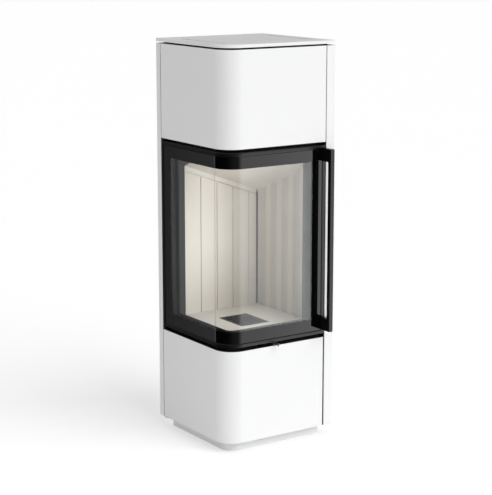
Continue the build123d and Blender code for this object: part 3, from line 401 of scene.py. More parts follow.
@dataclass(frozen=True)
class PanelCoat:
    """White powder coat on the outside of a folded sheet, with painted shade: near-black colour on its inside and
    its folds, so the gaps between sheets read dark.

    Attributes:
        name: The material's name.
        outer: The coat on the outside.
        shade_colour: Near-black colour painted on the inside and the folds as shade.
        left: Outer plane on the left, or None where the sheet has no left side.
        front: Outer plane at the front, or None.
        right: Outer plane on the right, or None.
        rear: Outer plane at the rear, or None.
        corner: Radius of the front left corner.
        depth: How far the outer coat reaches round an edge.
        blur: Half the width of the line where it ends.
        shade_roughness: How much rougher the painted shade is than the coat.
    """

    name: str
    outer: PowderCoat
    shade_colour: Colour
    left: float | None = None
    front: float | None = None
    right: float | None = None
    rear: float | None = None
    corner: float = 0.0
    depth: float = 0.0016
    blur: float = 0.0002
    shade_roughness: float = 0.25

    def distance(self, recipe: Recipe) -> Value:
        """How far a point lies behind the nearest outer plane.

        Args:
            recipe: The material's node tree.

        Returns:
            The distance in metres.
        """
        x, y, _ = recipe.axes()
        if self.corner:
            beside = ((self.left + self.corner) - x).largest(0.0)
            before = ((self.front + self.corner) - y).largest(0.0)
            return self.corner - (beside * beside + before * before).power(0.5)
        planes = [along - low for along, low in ((x, self.left), (y, self.front)) if low is not None]
        planes += [high - along for along, high in ((x, self.right), (y, self.rear)) if high is not None]
        nearest = planes[0]
        for plane in planes[1:]:
            nearest = nearest.smallest(plane)
        return nearest

    def material(self) -> bpy.types.Material:
        """Make the coat with its painted shade on the inside and the folds.

        Returns:
            The material.
        """
        recipe = Recipe(self.name)
        # Mask of the painted shade: one behind the outer planes, on the inside and the folds.
        inside = self.distance(recipe).above(self.depth, self.blur)
        colour, roughness, relief = self.outer.layers(recipe)
        return recipe.surface(Base_Color=recipe.blend(inside, colour, self.shade_colour),
                              Roughness=roughness + inside * self.shade_roughness, Normal=relief)


@dataclass(frozen=True)
class SideShade:
    """Painted shade that darkens one side of a firebox piece.

    Attributes:
        start: Where the painted shade starts, along X.
        full: Where it is darkest.
        share: How much of the finish's light it takes there.
        colour: Its colour.
        drift: How far its edge wanders, in metres.
        drift_scale: Turns of the edge per metre.
    """

    start: float
    full: float
    share: float
    colour: Colour = (0.012, 0.012, 0.013)
    drift: float = 0.006
    drift_scale: float = 16.0

    def over(self, recipe: Recipe, clean: bpy.types.NodeSocket) -> bpy.types.NodeSocket:
        """Lay the painted shade over a colour.

        Args:
            recipe: The material's node tree.
            clean: The colour without the painted shade.

        Returns:
            The colour with the painted shade.
        """
        x, _, _ = recipe.axes()
        drift = recipe.noise(self.drift_scale, detail=3.0).swing(self.drift)
        middle = (self.start + self.full) / 2
        # How deep into the painted shade the point lies, from 0 to 1.
        thickness = (middle - x + drift).above(0.0, abs(self.start - self.full) / 2)
        return recipe.blend(thickness * self.share, clean, self.colour)


@dataclass(frozen=True)
class HollowShade:
    """Painted shade in the hollows of a fluted board.

    Attributes:
        middle: Middle of one hollow, along Y.
        pitch: Distance from one hollow to the next.
        edge: Where a hollow ends, as the cosine of its share of a turn.
        share: How much of the board's colour the painted shade takes.
        colour: Colour of the painted shade.
        blur: Half the width of the film's edge, on the same scale as the edge.
    """

    middle: float
    pitch: float
    edge: float
    share: float
    colour: Colour
    blur: float = 0.25

    def over(self, recipe: Recipe, clean: bpy.types.NodeSocket) -> bpy.types.NodeSocket:
        """Lay the painted shade over a colour.

        Args:
            recipe: The material's node tree.
            clean: The colour without the painted shade.

        Returns:
            The colour with painted shade in the hollows.
        """
        _, y, _ = recipe.axes()
        wave = ((y - self.middle) * (TAU / self.pitch) + TAU / 4).sine()
        return recipe.blend(wave.above(self.edge, self.blur) * self.share, clean, self.colour)


@dataclass(frozen=True)
class StovePaint:
    """Matt heat-proof paint inside the stove, with painted shade on one side.

    Attributes:
        name: The material's name.
        colour: Colour of the clean paint.
        side_shade: Where painted shade darkens it.
        roughness: Its mean roughness.
        unevenness: How much the roughness varies over the patches.
        mottle: Share by which the paint darkens in patches.
        patch_scale: Patches per metre.
        grain_depth: Depth of the grain, in metres.
        grain_scale: Grains per metre.
    """

    name: str
    colour: Colour
    side_shade: SideShade
    roughness: float = 0.6
    unevenness: float = 0.1
    mottle: float = 0.15
    patch_scale: float = 9.0
    grain_depth: float = 0.00006
    grain_scale: float = 380.0

    def material(self) -> bpy.types.Material:
        """Make the paint.

        Returns:
            The material.
        """
        recipe = Recipe(self.name)
        cloud = recipe.noise(self.patch_scale, detail=4.0)
        grain = recipe.noise(self.grain_scale, detail=3.0)
        paint = recipe.blend(cloud, toned(self.colour, 1 - self.mottle), self.colour)
        return recipe.surface(Base_Color=self.side_shade.over(recipe, paint),
                              Roughness=self.roughness + cloud.swing(self.unevenness),
                              Normal=recipe.relief(grain, self.grain_depth))


@dataclass(frozen=True)
class BareMetal:
    """Brushed, turned or polished metal without a coat.

    Attributes:
        name: The material's name.
        colour: The metal's colour.
        roughness: Its mean roughness.
        brushing: How much finer the scratches are across each axis than along it.
        scratch_depth: Depth of the scratches, in metres.
        scratch_scale: Scratches per metre.
        unevenness: How much the roughness varies over the scratches.
        stain_scale: Stains per metre.
        stain_tone: Colour of the stains as a share of the metal's.
    """

    name: str
    colour: Colour
    roughness: float
    brushing: Place = (1.0, 1.0, 1.0)
    scratch_depth: float = 0.00001
    scratch_scale: float = 900.0
    unevenness: float = 0.12
    stain_scale: float = 18.0
    stain_tone: float = 0.82

    def material(self) -> bpy.types.Material:
        """Make the metal.

        Returns:
            The material.
        """
        recipe = Recipe(self.name)
        lines = recipe.noise(self.scratch_scale, detail=3.0, rough=0.6, stretch=self.brushing)
        stain = recipe.noise(self.stain_scale, detail=4.0)
        return recipe.surface(Base_Color=recipe.blend(stain, toned(self.colour, self.stain_tone), self.colour),
                              Metallic=1.0,
                              Roughness=self.roughness + lines.swing(self.unevenness),
                              Normal=recipe.relief(lines, self.scratch_depth))


@dataclass(frozen=True)
class CastIron:
    """Sand-cast iron with a dull black wash.

    Attributes:
        name: The material's name.
        colour: Colour of the wash.
        roughness: Its mean roughness.
        unevenness: How much the roughness varies over the grain.
        metallic: How much bare iron shows through.
        wear_tone: Colour of the worn patches as a share of the wash's.
        wear_lift: What is added to it.
        wear_scale: Worn patches per metre.
        grain_depth: Depth of the sand's grain, in metres.
        grain_scale: Grains per metre.
    """

    name: str
    colour: Colour
    roughness: float = 0.62
    unevenness: float = 0.3
    metallic: float = 0.25
    wear_tone: float = 1.9
    wear_lift: float = 0.01
    wear_scale: float = 24.0
    grain_depth: float = 0.00018
    grain_scale: float = 650.0

    def material(self) -> bpy.types.Material:
        """Make the iron.

        Returns:
            The material.
        """
        recipe = Recipe(self.name)
        grain = recipe.noise(self.grain_scale, detail=5.0, rough=0.65)
        wear = recipe.noise(self.wear_scale, detail=4.0)
        worn = toned(self.colour, self.wear_tone, self.wear_lift)
        return recipe.surface(Base_Color=recipe.blend(wear, self.colour, worn),
                              Metallic=self.metallic,
                              Roughness=self.roughness + grain.swing(self.unevenness),
                              Normal=recipe.relief(grain, self.grain_depth))


@dataclass(frozen=True)
class Refractory:
    """Pressed vermiculite board: warm off-white with fine flakes.

    Attributes:
        name: The material's name.
        colour: Colour of the board.
        flake: Colour of its flakes.
        shade: Colour of its darker patches.
        film: Painted shade laid over it, on one side or in the hollows of its flutes, or None.
        roughness: Its mean roughness.
        unevenness: How much the roughness varies over the grain.
        patch_scale: Patches per metre.
        patch_blur: Half the step of the noise from a light patch to a dark one.
        grain_scale: Grains per metre.
        flake_scale: Flakes per metre.
        flake_size: Radius of a flake, in cells.
        flake_blur: Half the width of its edge, in cells.
        flake_share: How much of the board's colour a flake takes.
        flake_relief: Share of the flakes in the relief, with the grain for the rest.
        depth: Depth of the relief, in metres.
    """

    name: str
    colour: Colour
    flake: Colour
    shade: Colour
    film: SideShade | HollowShade | None = None
    roughness: float = 0.86
    unevenness: float = 0.12
    patch_scale: float = 9.0
    patch_blur: float = 0.3
    grain_scale: float = 700.0
    flake_scale: float = 520.0
    flake_size: float = 0.22
    flake_blur: float = 0.08
    flake_share: float = 0.45
    flake_relief: float = 0.4
    depth: float = 0.00025

    def material(self) -> bpy.types.Material:
        """Make the board.

        Returns:
            The material.
        """
        recipe = Recipe(self.name)
        cloud = recipe.noise(self.patch_scale, detail=4.0)
        grain = recipe.noise(self.grain_scale, detail=4.0, rough=0.6)
        flakes = recipe.cells(self.flake_scale)
        fleck = 1 - flakes.above(self.flake_size, self.flake_blur)
        base = recipe.blend(cloud.above(0.5, self.patch_blur), self.colour, self.shade)
        board = recipe.blend(fleck * self.flake_share, base, self.flake)
        relief = grain * (1 - self.flake_relief) + flakes * self.flake_relief
        return recipe.surface(Base_Color=self.film.over(recipe, board) if self.film else board,
                              Roughness=self.roughness + grain.swing(self.unevenness),
                              Normal=recipe.relief(relief, self.depth))


@dataclass(frozen=True)
class Soapstone:
    """Sawn soapstone: grey-green with pale veins.

    Attributes:
        name: The material's name.
        colour: Colour of the stone.
        vein: Colour of its veins.
        roughness: Its mean roughness.
        unevenness: How much the roughness varies over the specks.
        vein_scale: Folds of the stone per metre.
        vein_turns: How closely the veins follow each other, in radians over the folds.
        vein_sharpness: The power that thins a vein.
        vein_share: How much of the stone's colour a vein takes.
        speck_scale: Specks per metre.
        speck_blur: Half the step of the noise from a light speck to a dark one.
        speck_tone: Colour of the dark specks as a share of the stone's.
        depth: Depth of the saw's marks, in metres.
    """

    name: str
    colour: Colour
    vein: Colour
    roughness: float = 0.6
    unevenness: float = 0.2
    vein_scale: float = 6.0
    vein_turns: float = 26.0
    vein_sharpness: float = 6.0
    vein_share: float = 0.5
    speck_scale: float = 380.0
    speck_blur: float = 0.25
    speck_tone: float = 0.8
    depth: float = 0.0001

    def material(self) -> bpy.types.Material:
        """Make the stone.

        Returns:
            The material.
        """
        recipe = Recipe(self.name)
        fold = recipe.noise(self.vein_scale, detail=5.0, rough=0.6).swing(self.vein_turns).sine().size()
        vein = (1 - fold).power(self.vein_sharpness)
        speck = recipe.noise(self.speck_scale, detail=4.0)
        base = recipe.blend(speck.above(0.5, self.speck_blur), toned(self.colour, self.speck_tone), self.colour)
        return recipe.surface(Base_Color=recipe.blend(vein * self.vein_share, base, self.vein),
                              Roughness=self.roughness + speck.swing(self.unevenness),
                              Normal=recipe.relief(speck, self.depth))


@dataclass(frozen=True)
class PrintedGlass:
    """Clear heat-proof glass with a black border printed round the view.

    Attributes:
        name: The material's name.
        ink: Colour of the printed border.
        view_low: Height where the clear view starts.
        view_high: Height where it ends.
        view_right: Where it ends on the right, along X.
        view_rear: Where it ends at the rear, along Y.
        bend_line: Where the bend starts on the left side, along Y.
        bend_left: The left side's face, along X.
        bend_width: Half the width of the painted highlight on that line.
        bend_share: How much of the light the painted highlight sends back on the clear glass.
        bend_highlight: Colour of the painted highlight on the border.
        blur: Half the width of the border's edge.
        tint: Colour of what the clear glass sends back.
        film: How much of the view a thin film of ash veils.
        film_scale: Patches of the film per metre.
        roughness: Roughness of clean glass.
        smear: How much rougher the film makes it.
        head_on: Share of the light that clear glass sends back head on.
        falloff: The power by which that share grows towards a grazing look.
        index: Index of refraction.
    """

    name: str
    ink: Colour
    view_low: float
    view_high: float
    view_right: float
    view_rear: float
    bend_line: float
    bend_left: float
    bend_width: float = 0.003
    bend_share: float = 0.35
    bend_highlight: Colour = (0.05, 0.05, 0.05)
    blur: float = 0.0002
    tint: Colour = (0.97, 0.99, 0.98)
    film: float = 0.02
    film_scale: float = 14.0
    roughness: float = 0.02
    smear: float = 0.03
    head_on: float = 0.04
    falloff: float = 5.0
    index: float = 1.52

    def material(self) -> bpy.types.Material:
        """Make the glass.

        Returns:
            The material.
        """
        recipe = Recipe(self.name)
        x, y, z = recipe.axes()
        border = z.above(self.view_high, self.blur).largest(1 - z.above(self.view_low, self.blur))
        border = border.largest(x.above(self.view_right, self.blur))
        border = border.largest(y.above(self.view_rear, self.blur))
        facing = Value(recipe, recipe.node("ShaderNodeLayerWeight", inputs={"Blend": 0.5}).outputs["Facing"])
        haze = recipe.noise(self.film_scale, detail=3.0)
        # A painted highlight along the line where the bend starts: grey on the border, more reflection on the clear
        # glass.
        bend = 1 - (y - self.bend_line).size().above(self.bend_width, self.bend_width / 2)
        bend = bend * (1 - x.above(self.bend_left, self.blur))
        clear = facing.power(self.falloff) * (1 - self.head_on) + self.head_on
        clear = clear + self.film * haze + bend * self.bend_share
        ink = recipe.blend(bend, self.ink, self.bend_highlight)
        return recipe.surface(Base_Color=recipe.blend(border, self.tint, ink),
                              Metallic=1 - border,
                              Roughness=self.roughness + haze * self.smear,
                              Alpha=clear.smallest(1.0).largest(border),
                              IOR=self.index)


@dataclass(frozen=True)
class RopeWeave:
    """Braided glass-fibre rope.

    Attributes:
        name: The material's name.
        colour: Colour of the strands.
        shade: Colour between the strands.
        strand: Distance between two strands, in metres.
        roughness: Its mean roughness.
        unevenness: How much the roughness varies over the fuzz.
        fuzz_scale: Fibres per metre.
        fuzz_share: Share of the fuzz in the colour, with the weave for the rest.
        fuzz_relief: Share of the fuzz in the relief.
        depth: Depth of the relief, in metres.
        sheen: Strength of the fibres' sheen.
    """

    name: str
    colour: Colour
    shade: Colour
    strand: float = 0.0032
    roughness: float = 0.9
    unevenness: float = 0.1
    fuzz_scale: float = 1400.0
    fuzz_share: float = 0.3
    fuzz_relief: float = 0.2
    depth: float = 0.0007
    sheen: float = 0.3

    def material(self) -> bpy.types.Material:
        """Make the rope.

        Returns:
            The material.
        """
        recipe = Recipe(self.name)
        x, y, z = recipe.axes()
        turns = TAU / self.strand / 2
        rising = ((x - y + z) * turns).sine().size()
        falling = ((x - y - z) * turns).sine().size()
        weave = rising.largest(falling)
        fuzz = recipe.noise(self.fuzz_scale, detail=3.0)
        strands = weave * (1 - self.fuzz_share) + fuzz * self.fuzz_share
        relief = weave * (1 - self.fuzz_relief) + fuzz * self.fuzz_relief
        return recipe.surface(Base_Color=recipe.blend(strands, self.shade, self.colour),
                              Roughness=self.roughness + fuzz.swing(self.unevenness),
                              Normal=recipe.relief(relief, self.depth),
                              Sheen_Weight=self.sheen)


@dataclass(frozen=True)
class MouldedPlastic:
    """Matt moulded plastic.

    Attributes:
        name: The material's name.
        colour: The plastic's colour.
        roughness: Its mean roughness.
        unevenness: How much the roughness varies over the grain.
        grain_tone: Colour of the raised grain as a share of the plastic's.
        grain_scale: Grains per metre.
        grain_depth: Depth of the grain, in metres.
    """

    name: str
    colour: Colour
    roughness: float = 0.5
    unevenness: float = 0.15
    grain_tone: float = 1.25
    grain_scale: float = 900.0
    grain_depth: float = 0.00004

    def material(self) -> bpy.types.Material:
        """Make the plastic.

        Returns:
            The material.
        """
        recipe = Recipe(self.name)
        grain = recipe.noise(self.grain_scale, detail=3.0)
        return recipe.surface(Base_Color=recipe.blend(grain, self.colour, toned(self.colour, self.grain_tone)),
                              Roughness=self.roughness + grain.swing(self.unevenness),
                              Normal=recipe.relief(grain, self.grain_depth))


@dataclass(frozen=True)
class Paving:
    """Plain pale paving of the studio, faintly lit from within.

    Attributes:
        name: The material's name.
        colour: The paving's colour.
        glow: Strength of its own light.
        sheen: Strength of its gloss.
        roughness: Its least roughness.
        unevenness: How much rougher it is in its palest patches.
        patch_scale: Patches per metre.
        patch_tone: Colour of the palest patches as a share of the paving's.
    """

    name: str
    colour: Colour
    glow: float = 0.48
    sheen: float = 0.1
    roughness: float = 0.8
    unevenness: float = 0.05
    patch_scale: float = 0.8
    patch_tone: float = 1.01

    def material(self) -> bpy.types.Material:
        """Make the paving.

        Returns:
            The material.
        """
        recipe = Recipe(self.name)
        cloud = recipe.noise(self.patch_scale)
        return recipe.surface(Base_Color=recipe.blend(cloud, self.colour, toned(self.colour, self.patch_tone)),
                              Roughness=self.roughness + cloud * self.unevenness,
                              Specular_IOR_Level=self.sheen,
                              Emission_Color=(1.0, 1.0, 1.0), Emission_Strength=self.glow)


Finish = (PowderCoat | PanelCoat | StovePaint | BareMetal | CastIron | Refractory | Soapstone | PrintedGlass
          | RopeWeave | MouldedPlastic | Paving)


class Palette:
    """Every finish of the stove, each made into a material once."""

    def __init__(self) -> None:
        """Start with nothing made."""
        self.made: dict[str, bpy.types.Material] = {}

    def material(self, finish: Finish) -> bpy.types.Material:
        """The material of a finish.

        Args:
            finish: The finish.

        Returns:
            Its material, the same one each time.
        """
        if finish.name not in self.made:
            self.made[finish.name] = finish.material()
        return self.made[finish.name]


WHITE = PowderCoat("white_powder_coat", (0.885, 0.887, 0.893), 0.34)
# Near-black painted shade for the insides and folds of the white sheets, so the gaps between them read dark.
FOLD_SHADE: Colour = (0.016, 0.016, 0.017)
HALF_WIDTH, HALF_DEPTH = 0.2265, 0.2200
WRAP_WHITE = PanelCoat("white_coat_on_wrap", WHITE, FOLD_SHADE, left=-HALF_WIDTH, front=-HALF_DEPTH, corner=0.068)
SIDE_WHITE = PanelCoat("white_coat_on_side", WHITE, FOLD_SHADE, front=-HALF_DEPTH, right=HALF_WIDTH)
REAR_WHITE = PanelCoat("white_coat_on_rear", WHITE, FOLD_SHADE, left=-HALF_WIDTH, rear=HALF_DEPTH)
BLACK = PowderCoat("black_satin_coat", (0.004, 0.004, 0.0045), 0.33, mottle=0.1)
CASING_GREY = PowderCoat("dark_grey_coat", (0.105, 0.108, 0.115), 0.55, peel_depth=0.00004)
SHELL_GREY: Colour = (0.14, 0.148, 0.165)
# Shell and riser darken towards the left: painted shade of the firebox's left side, which the door's frame shades.
FIREBOX_STEEL = StovePaint("heat_proof_steel_paint", SHELL_GREY, SideShade(start=-0.10, full=-0.15, share=0.75))
RISER_STEEL = StovePaint("air_riser_paint", SHELL_GREY, SideShade(start=-0.10, full=-0.13, share=0.70))
SHEET_STEEL = BareMetal("zinc_plated_steel", (0.62, 0.63, 0.64), 0.34, (1.0, 1.0, 0.08))
CHROME = BareMetal("polished_chrome", (0.86, 0.86, 0.87), 0.07, scratch_depth=0.000002)
BRONZE = BareMetal("oiled_bronze", (0.10, 0.075, 0.05), 0.38, (0.1, 0.1, 1.0))
IRON = CastIron("cast_iron", (0.035, 0.035, 0.038))
LINING = Refractory("pressed_lining", (0.80, 0.775, 0.715), (0.62, 0.57, 0.49), (0.76, 0.73, 0.67))
# A darker copy of the lining, painted shade of the side wall that the light only grazes, with more painted shade in
# the hollows of its flutes.
SIDE_LINING = Refractory("pressed_side_lining", (0.70, 0.665, 0.60), (0.55, 0.49, 0.415), (0.665, 0.625, 0.56),
                         HollowShade(middle=0.1435, pitch=0.069, edge=-0.18, share=0.36, colour=(0.43, 0.395, 0.35)))
# A darker copy of the lining, painted shade of the firebox's ceiling, with painted shade near black towards its
# left end.
BAFFLE = Refractory("pressed_baffle", (0.72, 0.69, 0.63), (0.56, 0.51, 0.44), (0.685, 0.65, 0.59),
                    SideShade(start=-0.136, full=-0.142, share=0.9))
STONE = Soapstone("sawn_soapstone", (0.30, 0.32, 0.31), (0.62, 0.64, 0.62))
GLASS = PrintedGlass("printed_door_glass", (0.0015, 0.0015, 0.002), view_low=0.431, view_high=0.988,
                     view_right=0.1305, view_rear=0.137, bend_line=-0.152, bend_left=-0.2248)
ROPE = RopeWeave("braided_rope", (0.10, 0.098, 0.094), (0.035, 0.034, 0.033))
MAGNET = MouldedPlastic("magnet_holder", (0.03, 0.03, 0.032))
FLOOR = Paving("studio_floor", (0.62, 0.62, 0.62))
WALL = Paving("studio_wall", (0.02, 0.02, 0.02), glow=0.955, sheen=0.0)

SLOT_FINISH = {
    "white_coat": WHITE, "black_coat": BLACK, "casing_grey": CASING_GREY, "firebox_steel": FIREBOX_STEEL,
    "bare_steel": SHEET_STEEL, "chrome": CHROME, "brass": BRONZE, "clear_glass": GLASS, "rope": ROPE,
    "lining": LINING, "iron": IRON, "soapstone": STONE, "magnet": MAGNET,
}
NODE_FINISH = {"side_panel": SIDE_WHITE, "rear_panel": REAR_WHITE, "air_riser": RISER_STEEL,
               "side_lining": SIDE_LINING, "baffle_plate": BAFFLE}


# ---------------------------------------------------------------- modelling


def deselect() -> None:
    """Deselect every object."""
    bpy.ops.object.select_all(action="DESELECT")


class Workpiece:
    """A mesh on the bench: started as a primitive, then shaped in edit mode."""

    def __init__(self, name: str) -> None:
        """Take the object that was just added.

        Args:
            name: The piece's name.
        """
        self.object = bpy.context.active_object
        self.object.name = name
        self.object.data.name = name
        bpy.ops.object.transform_apply(location=True, rotation=True, scale=True)

    @classmethod
    def block(cls, name: str, low: Sequence[float], high: Sequence[float]) -> "Workpiece":
        """Start from a block between two corners.

        Args:
            name: The piece's name.
            low: The lowest corner.
            high: The highest corner.

        Returns:
            The workpiece.
        """
        deselect()
        middle = [(a + b) / 2 for a, b in zip(low, high)]
        bpy.ops.mesh.primitive_cube_add(size=1.0, location=middle, scale=[b - a for a, b in zip(low, high)])
        return cls(name)

    @classmethod
    def drum(cls, name: str, middle: Sequence[float], radius: float, length: float, turn: Place,
             sides: int = 48) -> "Workpiece":
        """Start from a cylinder.

        Args:
            name: The piece's name.
            middle: Its middle.
            radius: Its radius.
            length: Its length.
            turn: Rotation of its axis from upright.
            sides: Number of flat sides.

        Returns:
            The workpiece.
        """
        deselect()
        bpy.ops.mesh.primitive_cylinder_add(vertices=sides, radius=radius, depth=length, location=middle,
                                            rotation=turn)
        return cls(name)

    def enter(self, mode: str) -> None:
        """Go to object or edit mode."""
        if self.object.mode != mode:
            bpy.ops.object.mode_set(mode=mode)

    def pick(self, part: Part, test: Callable[[Vector, Vector], bool]) -> None:
        """Select only the faces or edges that pass a test.

        Args:
            part: Faces or edges.
            test: Takes the middle and the direction of each: a face's normal or an edge's run.
        """
        self.enter("EDIT")
        bpy.ops.mesh.select_mode(type=part.value)
        bpy.ops.mesh.select_all(action="DESELECT")
        mesh = bmesh.from_edit_mesh(self.object.data)
        mesh.normal_update()
        for item in (mesh.faces if part is Part.FACE else mesh.edges):
            if part is Part.FACE:
                middle, direction = item.calc_center_median(), item.normal
            else:
                ends = [vertex.co for vertex in item.verts]
                middle, direction = (ends[0] + ends[1]) / 2, (ends[1] - ends[0]).normalized()
            if test(middle, direction):
                item.select_set(True)
        bmesh.update_edit_mesh(self.object.data)

    def round_off(self, width: float, segments: int) -> None:
        """Round the selected edges."""
        bpy.ops.mesh.bevel(offset=width, segments=segments, profile=0.5, affect="EDGES")

    def round_corner(self, low: Vector, radius: float, segments: int) -> None:
        """Round the upright edge at the front left.

        Args:
            low: The block's lowest corner.
            radius: Radius of the corner.
            segments: Number of steps round it.
        """
        self.pick(Part.EDGE,
                  lambda at, run: abs(run.z) > SQUARE and at.x < low.x + NEAR and at.y < low.y + NEAR)
        self.round_off(radius, segments)

    def open_wrap(self) -> None:
        """Leave only the front and the left side of a block, with the corner between them."""
        self.pick(Part.FACE, lambda at, normal: max(abs(normal.z), normal.x, normal.y) > SQUARE)
        self.remove_faces()

    def cut(self, point: Sequence[float], normal: Sequence[float]) -> None:
        """Cut new edges where a plane crosses the whole mesh."""
        bpy.ops.mesh.select_all(action="SELECT")
        bpy.ops.mesh.bisect(plane_co=point, plane_no=normal)

    def remove_faces(self) -> None:
        """Delete the selected faces."""
        bpy.ops.mesh.delete(type="FACE")

    def push(self, offset: Sequence[float]) -> None:
        """Extrude the selected faces by an offset."""
        bpy.ops.mesh.extrude_region_move(TRANSFORM_OT_translate={"value": offset})

    def widen(self, factor: float, axes: Place) -> None:
        """Scale the selection about its middle, along the axes that are 1."""
        bpy.ops.transform.resize(value=[factor if axis else 1.0 for axis in axes])

    def modify(self, name: str, kind: str, **settings: object) -> None:
        """Add a modifier and apply it.

        Args:
            name: The modifier's name.
            kind: Its type.
            settings: Its properties.
        """
        self.enter("OBJECT")
        made = self.object.modifiers.new(name, kind)
        for key, value in settings.items():
            setattr(made, key, value)
        bpy.ops.object.modifier_apply(modifier=made.name)

    def thicken(self, thickness: float) -> None:
        """Give an open shell its wall, inwards.

        Args:
            thickness: Thickness of the wall.
        """
        self.close_up()
        self.modify("wall", "SOLIDIFY", thickness=thickness, offset=-1.0, use_even_offset=True,
                    use_quality_normals=True)

    def soften(self, width: float, segments: int = 2, angle: float = 35.0) -> None:
        """Round every edge that is sharper than an angle in degrees."""
        self.modify("edges", "BEVEL", width=width, segments=segments, limit_method="ANGLE",
                    angle_limit=math.radians(angle), harden_normals=False)

    def close_up(self) -> None:
        """Merge doubles and turn every face outwards."""
        self.enter("EDIT")
        bpy.ops.mesh.select_all(action="SELECT")
        bpy.ops.mesh.remove_doubles(threshold=DOUBLE)
        bpy.ops.mesh.normals_make_consistent(inside=False)

    def finish(self, material: bpy.types.Material, body: Body, slot: str, *nodes: str,
               angle: float = 32.0) -> bpy.types.Object:
        """Shade the piece, dress it and hang it on its body.

        Args:
            material: Its finish.
            body: The body it rides on.
            slot: The record's material slot; not used.
            nodes: The CAD nodes that it stands for.
            angle: Edges flatter than this are smooth, in degrees.

        Returns:
            The finished object.
        """
        self.enter("OBJECT")
        deselect()
        self.object.select_set(True)
        bpy.context.view_layer.objects.active = self.object
        bpy.ops.object.shade_smooth_by_angle(angle=math.radians(angle))
        self.modify("normals", "WEIGHTED_NORMAL", keep_sharp=True)
        self.object.data.materials.clear()
        self.object.data.materials.append(material)
        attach(self.object, body.value)
        if nodes:
            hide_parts(*nodes)
        log.info("%s: %d faces", self.object.name, len(self.object.data.polygons))
        return self.object


# ---------------------------------------------------------------- sub-assemblies


@dataclass
class FoldedFront:
    """White sheet front that wraps round the rounded corner, with folded edges.

    Attributes:
        node: The CAD node that it stands for.
        name: The piece's name.
        body: The body it rides on.
        fold: Depth of the folds.
        end_gap: How far the end folds stop short of the top.
        corner_radius: Outer radius of the corner.
        sheet: Sheet thickness.
        crease: Radius of the folded edges.
        crease_steps: Number of steps round a fold.
        corner_steps: Number of steps round the corner.
    """

    node: str
    name: str
    body: Body
    fold: float
    end_gap: float = 0.0
    corner_radius: float = 0.068
    sheet: float = 0.002
    crease: float = 0.0011
    crease_steps: int = 3
    corner_steps: int = 28

    def build(self, palette: Palette) -> bpy.types.Object:
        """Model the front.

        Args:
            palette: The stove's finishes.

        Returns:
            The piece.
        """
        low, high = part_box(self.node)
        piece = Workpiece.block(self.name, low, high)
        piece.round_corner(low, self.corner_radius, self.corner_steps)
        piece.pick(Part.FACE, lambda at, normal: abs(normal.z) > SQUARE)
        bpy.ops.mesh.inset(thickness=self.fold, depth=0.0)
        piece.remove_faces()
        piece.cut((low.x + self.fold, 0, 0), (1, 0, 0))
        piece.cut((0, low.y + self.fold, 0), (0, 1, 0))
        piece.pick(Part.FACE, self._beyond_the_wrap(low))
        piece.remove_faces()
        if self.end_gap:
            piece.cut((0, 0, high.z - self.end_gap), (0, 0, 1))
            piece.pick(Part.FACE, lambda at, normal: at.z > high.z - self.end_gap
                       and (at.x > high.x - NEAR or at.y > high.y - NEAR))
            piece.remove_faces()
        piece.thicken(self.sheet)
        piece.soften(self.crease, self.crease_steps)
        return piece.finish(palette.material(WRAP_WHITE), self.body, "white_coat", self.node)

    def _beyond_the_wrap(self, low: Vector) -> Callable[[Vector, Vector], bool]:
        """The test for faces of the block that the wrapped front doesn't have.

        Args:
            low: The block's lowest corner.

        Returns:
            The test.
        """
        def test(at: Vector, normal: Vector) -> bool:
            """Tell whether a face lies behind the folds.

            Args:
                at: The middle of the face.
                normal: Its direction, which doesn't matter here.

            Returns:
                Whether it goes.
            """
            from_left, from_front = at.x - low.x, at.y - low.y
            in_corner = from_left < self.corner_radius and from_front < self.corner_radius
            return from_left > self.fold and from_front > self.fold and not in_corner
        return test


